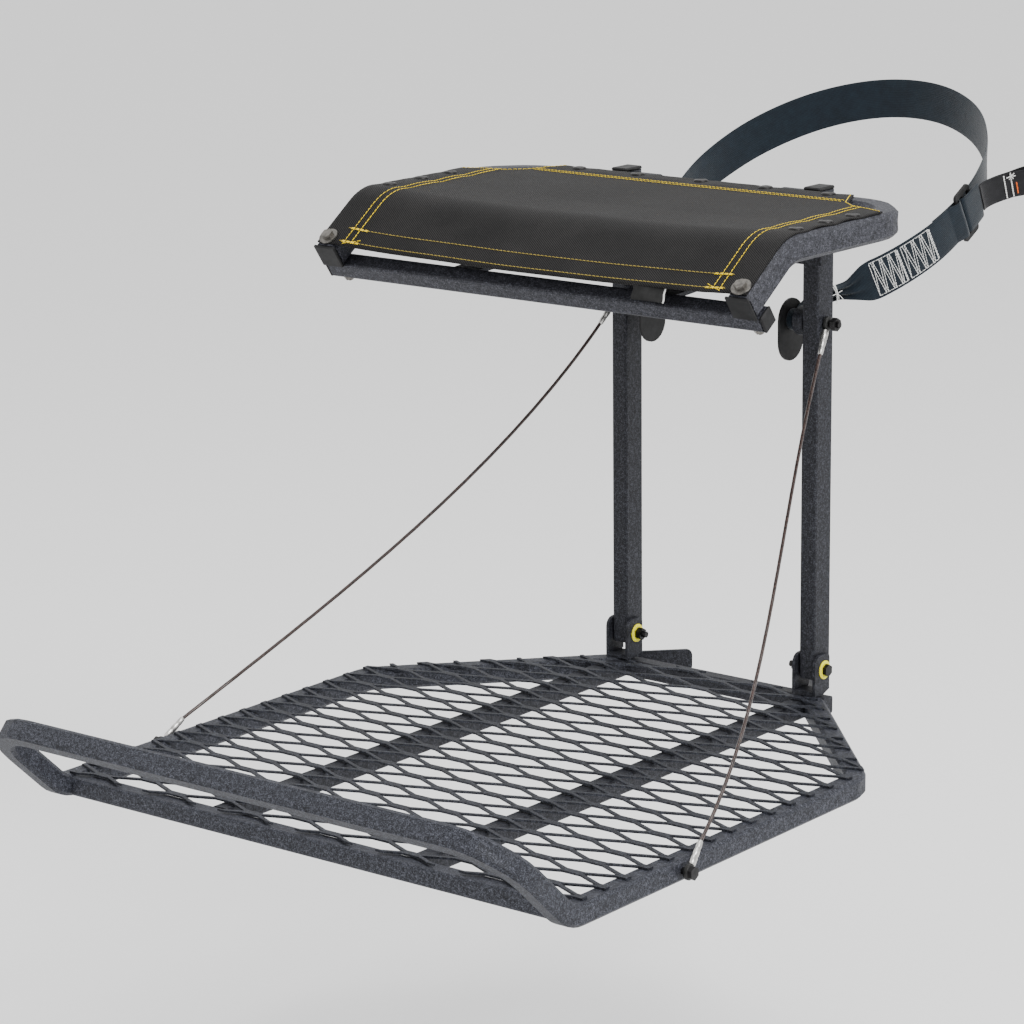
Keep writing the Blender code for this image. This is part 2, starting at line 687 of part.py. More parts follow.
def build_cable(side, word):
    """Each end is an eye on its bolt with a swaged ferrule; the cable runs between the ferrules."""
    length = (EYE_LOW - EYE_UP).length
    first, last = EYE_TO_FERRULE / length, 1 - EYE_TO_FERRULE / length
    ferrule = FERRULE / length
    reach = Vector((0.008, 0, 0))
    half_eye = Vector((EYE_T / 2, 0, 0))
    for name, at_bolt, near, far in (
        ("cable_eye_upper_", 0, first, first + ferrule),
        ("cable_eye_lower_", 1, last, last - ferrule),
    ):
        centre, foot, tip = (cable_point(side, word, share) for share in (at_bolt, near, far))
        eye = rod("eye", 0.0085, centre - half_eye, centre + half_eye, 20)
        sleeve = rod("ferrule", 0.0034, centre.lerp(foot, 0.5), tip, 14)
        combine(eye, [sleeve], "UNION")
        drill(eye, [(BOLT_R + GAP, centre - reach, centre + reach)])
        dress(eye, name + word, (BRIGHT, 0.35, 0.9))
    clear = ferrule + 2 * GAP / length
    start, end = first + clear, last - clear
    steps = 19
    path = [cable_point(side, word, start + (end - start) * i / steps) for i in range(steps + 1)]
    curve = bpy.data.curves.new("cable", "CURVE")
    curve.dimensions = "3D"
    curve.bevel_depth = CABLE_R
    curve.bevel_resolution = 2
    curve.use_fill_caps = True
    add_spline(curve, path, False)
    obj = bpy.data.objects.new("cable", curve)
    PARTS.objects.link(obj)
    dress(solid_of_curve(obj, "cable"), "cable_" + word, (BLACK, 0.35, 0.0))
    head = (side * (EYE_LOW.x + EYE_T / 2 + GAP), EYE_LOW.y, EYE_LOW.z)
    tip = (side * (PLATFORM_W / 2 - 0.0130), EYE_LOW.y, EYE_LOW.z)
    bolt = hex_bolt("rail_bolt", head, (side, 0, 0), tip, HEX_HALF)
    dress(bolt, "rail_bolt_" + word, (BLACK, 0.4, 0.8))


# Seat

def seat_rows():
    return bend_rows(SEAT_BEND_Y, SEAT_BEND_R, SEAT_SLOPE, 6)


def bend_seat(obj):
    bend_front(obj, SEAT_BEND_Y, SEAT_Z, SEAT_BEND_R, SEAT_SLOPE, upward=False)


def slope_point(run, lift):
    """Point on the seat's sloping front: run along the unbent tube, lift square to it."""
    arc = SEAT_BEND_R * SEAT_SLOPE
    rest = run - arc
    forward = (SEAT_BEND_R + lift) * sin(SEAT_SLOPE) + rest * cos(SEAT_SLOPE)
    drop = SEAT_BEND_R - (SEAT_BEND_R + lift) * cos(SEAT_SLOPE) + rest * sin(SEAT_SLOPE)
    return SEAT_BEND_Y - forward, SEAT_Z - drop


SLOPE_AXIS = Vector((0, -sin(SEAT_SLOPE), cos(SEAT_SLOPE)))
CROSSBAR_DROP = SEAT_T / 2 + GAP + BAR_T / 2  # the bar's centre lies this far under the rail's


def drill_unbent(obj):
    """Drills the front bolt holes of a seat piece that is still straight."""
    y = SEAT_BEND_Y - BOLT_RUN
    ends = [((side * SEAT_X, y, SEAT_Z - 0.03), (side * SEAT_X, y, SEAT_Z + 0.03)) for side, _ in SIDES]
    return drill(obj, [(BOLT_R + GAP, low, high) for low, high in ends])


def build_seat_tube():
    rough_end = SEAT_TUBE_END - 0.004
    corners = [(-SEAT_X, rough_end), (-SEAT_X, SEAT_REAR_Y), (SEAT_X, SEAT_REAR_Y), (SEAT_X, rough_end)]
    path = rounded_path(corners, [SEAT_CORNER_R, SEAT_CORNER_R], 8)
    path = with_rows(path, seat_rows())
    tube = swept_square("seat_tube", [(x, y, SEAT_Z) for x, y in path], SEAT_T, 0.005)
    out = 0.293 * SEAT_CORNER_R - 0.707 * SEAT_T / 2
    for side, _ in SIDES:
        corner = (side * (SEAT_X - out), SEAT_REAR_Y - out, SEAT_Z)
        dent(tube, corner, (-side, -1, 0), 0.0065, 0.024)
    trim(tube, (0, SEAT_TUBE_END, 0), (0, -1, 0))
    drill_unbent(tube)
    bend_seat(tube)
    return dress(tube, "seat_tube", POWDER)


def build_seat_front():
    """Crossbar under the rails' sloping ends, with plugs in every open tube end."""
    tilt = Matrix.Rotation(SEAT_SLOPE, 4, "X")
    y, z = slope_point(BOLT_RUN, -CROSSBAR_DROP)
    bar = tube_bar("crossbar", (2 * CROSSBAR_HALF, BAR_T, BAR_T), (0, y, z), 0, turn=tilt)
    for side, _ in SIDES:
        centre = Vector((side * SEAT_X, y, z))
        drill(bar, [(BOLT_R + GAP, centre - SLOPE_AXIS * 0.02, centre + SLOPE_AXIS * 0.02)])
    dress(bar, "seat_crossbar", POWDER)
    plug_t = 0.004
    run = SEAT_BEND_Y - SEAT_TUBE_END + GAP + plug_t / 2
    top_at = slope_point(BOLT_RUN, SEAT_T / 2 + 2 * GAP + FABRIC_T)
    foot_at = slope_point(BOLT_RUN, -(CROSSBAR_DROP + BAR_T / 2 + GAP))
    for side, word in SIDES:
        end_x = side * (CROSSBAR_HALF + GAP + plug_t / 2)
        plug = box("plug", (plug_t, BAR_T, BAR_T), (end_x, y, z), 0.0012, tilt)
        dress(plug, "crossbar_plug_" + word, (BLACK, 0.5, 0.0))
        end_of_rail = (side * SEAT_X, *slope_point(run, 0))
        plug = box("plug", (SEAT_T, plug_t, SEAT_T), end_of_rail, 0.0012, tilt)
        dress(plug, "rail_plug_" + word, (BLACK, 0.5, 0.0))
        top = Vector((side * SEAT_X, *top_at))
        foot = Vector((side * SEAT_X, *foot_at))
        tip = foot - SLOPE_AXIS * 0.011
        bolt = hex_bolt("seat_bolt", top, SLOPE_AXIS, tip, 0.0064, washer=0.0020)
        dress(bolt, "seat_bolt_" + word, (ZINC, 0.35, 0.9))
        nut = hex_nut("seat_nut", foot, -SLOPE_AXIS, 0.0064, 0.0075)
        dress(nut, "seat_nut_" + word, (ZINC, 0.35, 0.9))


def build_seat_fabric():
    """Sling on the rails and the rear bar; its rear corners are notched out round the tube's bends."""
    side_rows = [SEAT_TUBE_END + 0.002] + sorted(seat_rows()) + [-0.23, -0.16]
    rows = [(y, FABRIC_HALF) for y in side_rows] + list(FABRIC_NOTCH)
    bottom = SEAT_Z + SEAT_T / 2 + GAP
    bm = bmesh.new()
    edges = []
    for y, half in rows:
        edges.append([bm.verts.new((x, y, bottom)) for x in (-half, half)])
    for (left, right), (far_left, far_right) in zip(edges, edges[1:]):
        bm.faces.new((left, right, far_right, far_left))
    grown = bmesh.ops.extrude_face_region(bm, geom=list(bm.faces))
    lifted = [v for v in grown["geom"] if isinstance(v, bmesh.types.BMVert)]
    bmesh.ops.translate(bm, vec=(0, 0, FABRIC_T), verts=lifted)
    sling = drill_unbent(mesh_object(bm, "sling"))
    bend_seat(sling)
    dress(sling, "seat_fabric", ((0.014, 0.014, 0.015), 0.9, 0.0))


def build_seat_strut(side, word):
    """Flat bar from the crossbar back to the upright, with a foot that bears on its front face."""
    bar_y, bar_z = slope_point(BOLT_RUN, -CROSSBAR_DROP)
    front_y, front_z = bar_y + BAR_T * 0.75, bar_z - 0.001
    back_y, back_z = -UPRIGHT_D / 2 - GAP, 0.568
    foot_z = back_z - 0.028
    outline = [
        (front_y, front_z), (back_y - STRUT_T, back_z - STRUT_T), (back_y - STRUT_T, foot_z),
        (back_y, foot_z), (back_y, back_z), (front_y, front_z + STRUT_T),
    ]
    strut = side_plate("strut", [outline], STRUT_W, side * UPRIGHT_X)
    dress(strut, "seat_strut_" + word, POWDER_DARK)


def build_seat_hinge(side, word):
    """Barrel on the rear bar beside the upright's inner face, turning on a pin through the upright."""
    radius = 0.012
    weld_y = SEAT_REAR_Y + SEAT_T / 2 + GAP
    x0, x1 = 0.093, UPRIGHT_X - UPRIGHT_W / 2 - 2 * GAP
    outline = [(weld_y, SEAT_AXIS_Z - radius), (0, SEAT_AXIS_Z - radius)]
    outline += circle((0, SEAT_AXIS_Z), radius, 12, -pi / 2, pi / 2)[1:]
    outline += [(weld_y, SEAT_AXIS_Z + radius)]
    hole = circle((0, SEAT_AXIS_Z), PIN_R + GAP, 16)
    barrel = side_plate("barrel", [outline, hole], x1 - x0, side * (x0 + x1) / 2)
    dress(barrel, "seat_barrel_" + word, POWDER)
    inboard = (side * (x0 - 0.003), 0, SEAT_AXIS_Z)
    outboard = (side * (UPRIGHT_X + UPRIGHT_W / 2 - 0.0005), 0, SEAT_AXIS_Z)
    pin = rod("pin", PIN_R, inboard, outboard, 16)
    dress(pin, "seat_pin_" + word, (ZINC, 0.35, 0.9))


# Strap

SLIDE_BAR = (0.0046, 0.0036)
SLIDE_MID_R = 0.2087
SLIDE_STEP = 0.01495  # distance between the slide's bars along the strap


def strap_frame(angle, radius):
    """Point, outward normal and width direction of webbing laid round the trunk at an angle from +X."""
    place = Vector((radius * cos(angle), TRUNK_Y + radius * sin(angle), 0))
    place.z = STRAP_Z + STRAP_TILT * (TRUNK_Y + 0.207 * sin(angle))
    normal = Vector((cos(angle), sin(angle), 0))
    along = Vector((-sin(angle), cos(angle), STRAP_TILT * cos(angle))).normalized()
    width = normal.cross(along).normalized()
    return place, normal, width


def loft(name, stations):
    """Closed solid through rounded oblong sections: (centre, width vector, normal, width, thickness)."""
    bm = bmesh.new()
    rings = []
    for centre, across, normal, width, thick in stations:
        corner = min(thick * 0.45, width * 0.45)
        ring = []
        for sx, sy in ((1, 1), (-1, 1), (-1, -1), (1, -1)):
            wide = across * sx * width / 2 + normal * sy * (thick / 2 - corner)
            tall = across * sx * (width / 2 - corner) + normal * sy * thick / 2
            pair = (wide, tall) if sx * sy > 0 else (tall, wide)
            ring += [bm.verts.new(centre + offset) for offset in pair]
        rings.append(ring)
    count = len(rings[0])
    for near, far in zip(rings, rings[1:]):
        for i in range(count):
            bm.faces.new((near[i], near[(i + 1) % count], far[(i + 1) % count], far[i]))
    bm.faces.new(rings[0])
    bm.faces.new(reversed(rings[-1]))
    return mesh_object(bm, name)


def eye_to_trunk(side):
    """Stations of the gathered webbing from the spool to where it spreads on the trunk."""
    route = [
        (0.1107, 0.0105, 0.4715, 0.0165, 0.0085), (0.1113, 0.0260, 0.4790, 0.0180, 0.0090),
        (0.1185, 0.0430, 0.4860, 0.0190, 0.0095), (0.1290, 0.0590, 0.4920, 0.0195, 0.0095),
    ]
    stations = []
    for i, (x, y, z, width, thick) in enumerate(route):
        after = route[min(i + 1, len(route) - 1)]
        before = route[max(i - 1, 0)]
        along = (Vector(after[:3]) - Vector(before[:3])).normalized()
        along.x *= side
        normal = Vector((side * along.y, -side * along.x, 0)).normalized()
        across = side * normal.cross(along).normalized()
        stations.append((Vector((side * x, y, z)), across, normal, width, thick))
    return stations


def spread(side, degrees_list, radius):
    """Stations on the trunk where the gathered webbing opens to its full width."""
    stations = []
    for degrees, width, thick in degrees_list:
        angle = radians(degrees if side > 0 else 180 - degrees)
        place, normal, across = strap_frame(angle, radius)
        stations.append((place, across, normal, width, thick))
    return stations


def turned_over(stations):
    """The same stations with the webbing's other face outward, as it lies after turning round a bar."""
    return [(place, across, -normal, width, thick) for place, across, normal, width, thick in stations]


def eye_ring(side):
    """Loop of webbing round the spool."""
    outlines = [circle((0, ANCHOR_Z), 0.0135, 20), circle((0, ANCHOR_Z), 0.0086, 16)]
    return side_plate("ring", outlines, 0.0095, side * 0.1107)


def wrap_bar(bar_angle, outer_r, inner_r, sign):
    """Stations of webbing that turns round a bar of the slide: over it, then back below it."""
    place, normal, across = strap_frame(bar_angle, (outer_r + inner_r) / 2)
    along = across.cross(normal) * sign
    half = (outer_r - inner_r) / 2
    stations = []
    for step in range(1, 6):
        turn = pi * step / 6
        offset = normal * half * cos(turn) + along * half * 1.55 * sin(turn)
        facing = (normal * cos(turn) + along * sin(turn)).normalized()
        stations.append((place + offset, across, facing, WEBBING_W, WEBBING_T))
    return stations


def lay(start, end, r_start, r_end, count):
    """Flat webbing on the trunk between two angles in degrees."""
    stations = []
    for i in range(count):
        share = i / (count - 1)
        angle = radians(start + (end - start) * share)
        place, normal, across = strap_frame(angle, r_start + (r_end - r_start) * share)
        stations.append((place, across, normal, WEBBING_W, WEBBING_T))
    return stations


NECK_SPREAD = ((-48.0, 0.022, 0.0080), (-45.0, 0.032, 0.0050), (-42.0, 0.044, 0.0028))
BAR_DEGREES = SLIDE_STEP / (SLIDE_MID_R * hypot(1, STRAP_TILT)) * 180 / pi
OUTER_R = STRAP_R + WEBBING_T + SLIDE_BAR[1] + 0.0022
END_BAR_LIFT = 0.0012  # the flat slide's end bars stand further off the round trunk
MIDDLE_BAR_AT = 1.0
LEFT_BAR_AT = MIDDLE_BAR_AT - BAR_DEGREES
BAND_END_AT = MIDDLE_BAR_AT + 2 * BAR_DEGREES


def build_strap_lead():
    """Short right-hand strap: an eye, a gathered neck, then webbing folded round the slide's first bar."""
    second_r = STRAP_R + WEBBING_T + GAP
    stations = eye_to_trunk(1)
    stations += spread(1, NECK_SPREAD, second_r + 0.001)
    stations += lay(-39.0, LEFT_BAR_AT - 3.5, second_r, second_r, 8)
    over_r = OUTER_R + END_BAR_LIFT
    stations += lay(LEFT_BAR_AT - 0.2, LEFT_BAR_AT, over_r, over_r, 2)[:1]
    stations += wrap_bar(radians(LEFT_BAR_AT), over_r, STRAP_R, 1)
    stations += turned_over(lay(LEFT_BAR_AT - 0.2, -13.0, STRAP_R, STRAP_R, 3))
    lead = loft("lead", stations)
    combine(lead, [eye_ring(1)], "UNION")
    dress(lead, "strap_lead", (NAVY, 0.7, 0.0))


def build_strap_band():
    """Long strap: the left eye, round the back of the trunk, under the slide and up over its middle bar."""
    stations = lay(BAND_END_AT, MIDDLE_BAR_AT + 0.2, OUTER_R + 2 * END_BAR_LIFT, OUTER_R, 3)
    stations += wrap_bar(radians(MIDDLE_BAR_AT), OUTER_R, STRAP_R, -1)
    left = lay(MIDDLE_BAR_AT + 0.2, 219.0, STRAP_R, STRAP_R, 26)
    left += reversed(spread(-1, NECK_SPREAD, STRAP_R + 0.003))
    left += reversed(eye_to_trunk(-1))
    stations += turned_over(left)
    band = loft("band", stations)
    combine(band, [eye_ring(-1)], "UNION")
    dress(band, "strap_band", (NAVY, 0.7, 0.0))


def build_strap_slide():
    """Three-bar slide: an oblong frame with a middle bar, two windows between."""
    height, width, rail = 0.068, 0.0345, 0.0065
    x0, y0 = width / 2, height / 2
    outer = []
    for cx, cy, start in ((x0, y0, 0), (-x0, y0, pi / 2), (-x0, -y0, pi), (x0, -y0, 1.5 * pi)):
        sx, sy = (1 if cx > 0 else -1), (1 if cy > 0 else -1)
        outer += circle((cx - sx * 0.005, cy - sy * 0.005), 0.005, 4, start, start + pi / 2)
    windows = []
    half_bar = SLIDE_BAR[0] / 2
    for sign in (-1, 1):
        near, far = sign * half_bar, sign * (x0 - SLIDE_BAR[0])
        windows.append([(near, y0 - rail), (far, y0 - rail), (far, -y0 + rail), (near, -y0 + rail)])
    place, normal, across = strap_frame(radians(MIDDLE_BAR_AT), SLIDE_MID_R)
    along = across.cross(normal)
    matrix = Matrix((
        (along.x, across.x, normal.x, place.x), (along.y, across.y, normal.y, place.y),
        (along.z, across.z, normal.z, place.z), (0, 0, 0, 1),
    ))
    slide = plate("slide", [outer] + windows, SLIDE_BAR[1], matrix)
    dress(slide, "strap_slide", (BLACK, 0.4, 0.0))


def build_strap_tail():
    """Free end of the strap, sewn into a folded pull loop, curving away from the trunk."""
    start, normal, across = strap_frame(radians(BAND_END_AT), OUTER_R + 2 * END_BAR_LIFT)
    along = across.cross(normal)
    away = Vector((0.66, 0.52, 0.20)).normalized()
    first = start + along * 0.0026
    bend = first + along * 0.018
    tip = bend + away * 0.066
    stations = []
    for i in range(9):
        share = i / 8
        place = first.lerp(bend, share).lerp(bend.lerp(tip, share), share)
        heading = (bend - first).lerp(tip - bend, share).normalized()
        up = (across - heading * across.dot(heading)).normalized()
        stations.append((place, up, heading.cross(up), 0.037, 0.0034))
    tail = loft("tail", stations)
    dress(tail, "strap_tail", (BLACK, 0.75, 0.0))


# The whole stand

build_platform_loop()
build_bars()
build_grille()
build_upright_tie()
for SIDE, WORD in SIDES:
    build_clevis(SIDE, WORD)
    build_fold_joint(SIDE, WORD)
    build_tree_blade(SIDE, WORD)
    build_upright(SIDE, WORD)
    build_anchor(SIDE, WORD)
    build_cable(SIDE, WORD)
    build_seat_strut(SIDE, WORD)
    build_seat_hinge(SIDE, WORD)
build_seat_tube()
build_seat_front()
build_seat_fabric()
build_strap_lead()
build_strap_band()
build_strap_slide()
build_strap_tail()

shift_all_to_trunk_face()

platform_pieces = ["platform_loop", "front_bar", "rear_bar", "deck_grille"]
platform_pairs = (
    "deck_rib_", "clevis_", "tree_blade_", "cable_eye_lower_", "rail_bolt_",
    "fold_bushing_outer_", "fold_bushing_inner_",
)
seat_pieces = ["seat_tube", "seat_crossbar", "seat_fabric"]
seat_pairs = (
    "seat_strut_", "seat_barrel_", "seat_bolt_", "seat_nut_", "rail_plug_", "crossbar_plug_",
)
for _, WORD in SIDES:
    platform_pieces += [name + WORD for name in platform_pairs]
    seat_pieces += [name + WORD for name in seat_pairs]
    hang_on_axis("keeper_axis_" + WORD, (0, FRAME_Y, ANCHOR_Z), ["keeper_plate_" + WORD])
hang_on_axis("platform_fold_axis", (0, FOLD_Y + FRAME_Y, FOLD_Z), platform_pieces)
hang_on_axis("seat_flip_axis", (0, FRAME_Y, SEAT_AXIS_Z), seat_pieces)
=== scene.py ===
"""Looks of a hang-on tree stand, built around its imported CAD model. Metres, +Z up, -Y is the front."""

import bpy
import bmesh
from math import cos, hypot, pi, radians, sin
from mathutils import Matrix, Vector


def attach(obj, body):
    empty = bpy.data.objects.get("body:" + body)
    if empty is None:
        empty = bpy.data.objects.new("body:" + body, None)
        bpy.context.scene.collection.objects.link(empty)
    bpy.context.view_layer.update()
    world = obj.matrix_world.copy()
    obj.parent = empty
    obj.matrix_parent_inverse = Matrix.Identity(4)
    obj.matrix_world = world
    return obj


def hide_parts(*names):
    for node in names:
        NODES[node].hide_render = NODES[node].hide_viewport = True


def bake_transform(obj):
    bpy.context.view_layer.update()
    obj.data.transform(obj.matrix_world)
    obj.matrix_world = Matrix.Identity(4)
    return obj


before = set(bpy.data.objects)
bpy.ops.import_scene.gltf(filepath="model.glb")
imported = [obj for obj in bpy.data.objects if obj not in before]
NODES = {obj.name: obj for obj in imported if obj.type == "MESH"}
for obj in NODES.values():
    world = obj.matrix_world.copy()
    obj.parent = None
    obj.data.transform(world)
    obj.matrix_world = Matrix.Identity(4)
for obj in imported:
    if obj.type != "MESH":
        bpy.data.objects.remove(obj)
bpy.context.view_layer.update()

SIDES = ((-1, "left"), (1, "right"))
FRAME_Y = -0.024  # centre plane of the uprights
ANCHOR_Z = 0.4665

SEAT_X, SEAT_Z, SEAT_T = 0.2990, 0.6136, 0.03175
SEAT_BEND_Y, SEAT_BEND_R, SEAT_SLOPE = -0.290, 0.060, radians(35)
FABRIC_HALF, FABRIC_BACK, FABRIC_FRONT = 0.3105, -0.0325, -0.3995
FABRIC_NOTCH = ((-0.121, 0.3105), (-0.101, 0.261), (-0.081, 0.238), (-0.0325, 0.214))  # Y, half width
FABRIC_T = 0.0018
FABRIC_BOTTOM = SEAT_Z + SEAT_T / 2 + 0.0005

TRUNK_Y, STRAP_R, STRAP_TILT, STRAP_Z = 0.227, 0.205, 0.518, 0.4563
WEBBING_T, WEBBING_W = 0.0016, 0.050
SLIDE_BAR_T, SLIDE_STEP, SLIDE_R = 0.0036, 0.01495, 0.2087
MIDDLE_BAR_AT = 1.0
BAR_DEGREES = SLIDE_STEP / (SLIDE_R * hypot(1, STRAP_TILT)) * 180 / pi
LEFT_BAR_AT = MIDDLE_BAR_AT - BAR_DEGREES
BAND_END_AT = MIDDLE_BAR_AT + 2 * BAR_DEGREES
UNDER_BAR, OVER_BAR = 0.0018, 0.0022  # room for the webbing below and above a bar of the slide
OUTER_R = STRAP_R + UNDER_BAR + SLIDE_BAR_T + OVER_BAR
END_BAR_LIFT = 0.0012


# Camera, floor and light

def build_camera():
    azimuth, elevation, roll = radians(38.341), radians(13.622), radians(-0.574)
    back = Vector((sin(azimuth) * cos(elevation), -cos(azimuth) * cos(elevation), sin(elevation)))
    level = Vector((cos(azimuth), sin(azimuth), 0))
    upright = back.cross(level)
    right = cos(roll) * level + sin(roll) * upright
    up = -sin(roll) * level + cos(roll) * upright
    camera = bpy.data.cameras.new("camera")
    camera.sensor_width = 36
    camera.lens = 127.8
    camera.shift_x, camera.shift_y = -0.0041, -0.0044
    camera.clip_end = 50
    obj = bpy.data.objects.new("camera", camera)
    bpy.context.scene.collection.objects.link(obj)
    place = -0.25643 * right + 0.20963 * up + 4.58975 * back + Vector((0, FRAME_Y, 0))
    turn = Matrix((right, up, back)).transposed().to_4x4()
    obj.matrix_world = Matrix.Translation(place) @ turn
    bpy.context.scene.camera = obj


def area_light(name, place, target, size, power):
    light = bpy.data.lights.new(name, "AREA")
    light.shape = "DISK"
    light.size = size
    light.energy = power
    obj = bpy.data.objects.new(name, light)
    bpy.context.scene.collection.objects.link(obj)
    obj.location = place
    obj.rotation_euler = (Vector(place) - Vector(target)).to_track_quat("Z", "Y").to_euler()


def build_studio():
    mesh = bpy.data.meshes.new("floor")
    bm = bmesh.new()
    bmesh.ops.create_grid(bm, x_segments=1, y_segments=1, size=30)
    bm.to_mesh(mesh)
    bm.free()
    floor = bpy.data.objects.new("floor", mesh)
    floor.location.z = -0.42
    bpy.context.scene.collection.objects.link(floor)
    floor.data.materials.append(plain("floor", (0.90, 0.90, 0.90), 0.9))
    world = bpy.data.worlds.new("world")
    world.use_nodes = True
    background = world.node_tree.nodes["Background"]
    background.inputs["Color"].default_value = (1, 1, 1, 1)
    background.inputs["Strength"].default_value = 1.3
    bpy.context.scene.world = world
    middle = (0, -0.35, 0.35)
    area_light("key", (3.2, -1.0, 3.0), middle, 1.6, 135)
    area_light("fill", (-2.6, -2.8, 1.8), middle, 2.4, 22)
    area_light("top", (0.2, 0.6, 3.6), middle, 2.0, 60)


# Materials

def plain(name, colour, roughness, metallic=0.0):
    material = bpy.data.materials.new(name)
    material.use_nodes = True
    shader = material.node_tree.nodes["Principled BSDF"]
    shader.inputs["Base Color"].default_value = (*colour, 1)
    shader.inputs["Roughness"].default_value = roughness
    shader.inputs["Metallic"].default_value = metallic
    shader.inputs["Specular IOR Level"].default_value = 0.5 if metallic else 0.2
    return material


class Look:
    """A Principled material with the nodes that its pattern needs, in object coordinates, in metres."""

    def __init__(self, name, colour, roughness, metallic=0.0):
        self.material = plain(name, colour, roughness, metallic)
        self.tree = self.material.node_tree
        self.shader = self.tree.nodes["Principled BSDF"]
        self.place = self.node("ShaderNodeTexCoord").outputs["Object"]

    def node(self, kind, **settings):
        made = self.tree.nodes.new(kind)
        for key, value in settings.items():
            setattr(made, key, value)
        return made

    def link(self, source, target):
        self.tree.links.new(source, target)

    def noise(self, scale, detail=3.0, roughness=0.5):
        made = self.node("ShaderNodeTexNoise")
        made.inputs["Scale"].default_value = scale
        made.inputs["Detail"].default_value = detail
        made.inputs["Roughness"].default_value = roughness
        self.link(self.place, made.inputs["Vector"])
        return made.outputs["Fac"]

    def cells(self, scale):
        made = self.node("ShaderNodeTexVoronoi", feature="F1")
        made.inputs["Scale"].default_value = scale
        self.link(self.place, made.inputs["Vector"])
        return made.outputs["Distance"]

    def math(self, operation, first, second=None, third=None):
        made = self.node("ShaderNodeMath", operation=operation)
        for socket, value in zip(made.inputs, (first, second, third)):
            if value is None:
                continue
            if isinstance(value, (int, float)):
                socket.default_value = value
            else:
                self.link(value, socket)
        return made.outputs[0]

    def ramp(self, value, stops):
        made = self.node("ShaderNodeValToRGB")
        elements = made.color_ramp.elements
        while len(elements) < len(stops):
            elements.new(0.5)
        for element, (position, colour) in zip(elements, stops):
            element.position = position
            element.color = (*colour, 1)
        self.link(value, made.inputs["Fac"])
        return made.outputs["Color"]

    def colour(self, source):
        self.link(source, self.shader.inputs["Base Color"])

    def roughness(self, value, low, high):
        made = self.node("ShaderNodeMapRange")
        made.inputs["To Min"].default_value = low
        made.inputs["To Max"].default_value = high
        self.link(value, made.inputs["Value"])
        self.link(made.outputs["Result"], self.shader.inputs["Roughness"])

    def bump(self, height, distance, strength=1.0):
        made = self.node("ShaderNodeBump")
        made.inputs["Distance"].default_value = distance
        made.inputs["Strength"].default_value = strength
        self.link(height, made.inputs["Height"])
        self.link(made.outputs["Normal"], self.shader.inputs["Normal"])

    def axis(self, name):
        split = self.node("ShaderNodeSeparateXYZ")
        self.link(self.place, split.inputs["Vector"])
        return split.outputs[name]

    def along_uv(self, name):
        """U runs along a strip in metres, V across it."""
        split = self.node("ShaderNodeSeparateXYZ")
        self.link(self.node("ShaderNodeUVMap").outputs["UV"], split.inputs["Vector"])
        return split.outputs[name]

    def stripes(self, value, pitch, offset=0.0):
        """A wave between 0 and 1 that repeats every pitch."""
        turned = self.math("MULTIPLY_ADD", value, 2 * pi / pitch, offset)
        return self.math("MULTIPLY_ADD", self.math("SINE", turned), 0.5, 0.5)


def powder_coat(name, dark, light, roughness=0.55):
    """Speckled, slightly pebbled powder coat."""
    look = Look(name, light, roughness)
    speckle = look.noise(760, 2.0, 0.75)
    blotch = look.noise(240, 3.0, 0.6)
    value = look.math("MULTIPLY_ADD", blotch, 0.35, look.math("MULTIPLY", speckle, 0.75))
    middle = tuple((a + b) / 2 for a, b in zip(dark, light))
    bright = tuple(min(1.0, 2.3 * c + 0.008) for c in light)
    look.colour(look.ramp(value, [(0.44, dark), (0.53, middle), (0.60, light), (0.70, bright)]))
    look.roughness(look.noise(700), roughness - 0.12, roughness + 0.15)
    pebbles = look.math("ADD", look.noise(900, 2.0), look.math("MULTIPLY", look.cells(520), 0.6))
    look.bump(pebbles, 0.00022, 0.9)
    return look.material


def moulded(name, colour, roughness):
    """Dusty moulded plastic with a fine grain."""
    look = Look(name, colour, roughness)
    dust = look.noise(60, 4.0, 0.6)
    worn = tuple(min(1.0, c * 1.7 + 0.004) for c in colour)
    look.colour(look.ramp(dust, [(0.42, colour), (0.75, worn)]))
    look.roughness(look.noise(200), roughness - 0.08, roughness + 0.12)
    look.bump(look.noise(1400, 2.0), 0.00006, 0.8)
    return look.material


def plated(name, colour, roughness):
    """Plated or blackened steel, dull in patches."""
    look = Look(name, colour, roughness, 0.9)
    tone = look.noise(180, 5.0, 0.65)
    dull = tuple(c * 0.55 for c in colour)
    look.colour(look.ramp(tone, [(0.35, dull), (0.6, colour)]))
    look.roughness(look.noise(320, 4.0), roughness - 0.1, roughness + 0.2)
    look.bump(look.noise(600, 3.0), 0.00005, 0.7)
    return look.material


def webbing(name, colour, light, rib=0.0016):
    """Woven strap: fine ribs across it, each crossed by warp threads."""
    look = Look(name, colour, 0.75)
    along, across = look.along_uv("X"), look.along_uv("Y")
    ribs = look.stripes(along, rib)
    warp = look.stripes(across, rib * 1.4)
    weave = look.math("MULTIPLY", ribs, look.math("MULTIPLY_ADD", warp, 0.5, 0.5))
    tone = look.math("MULTIPLY_ADD", look.noise(90, 4.0), 0.5, look.math("MULTIPLY", weave, 0.55))
    look.colour(look.ramp(tone, [(0.25, colour), (0.85, light)]))
    look.shader.inputs["Sheen Weight"].default_value = 0.25
    look.shader.inputs["Sheen Roughness"].default_value = 0.4
    look.bump(weave, 0.00035, 0.9)
    return look.material


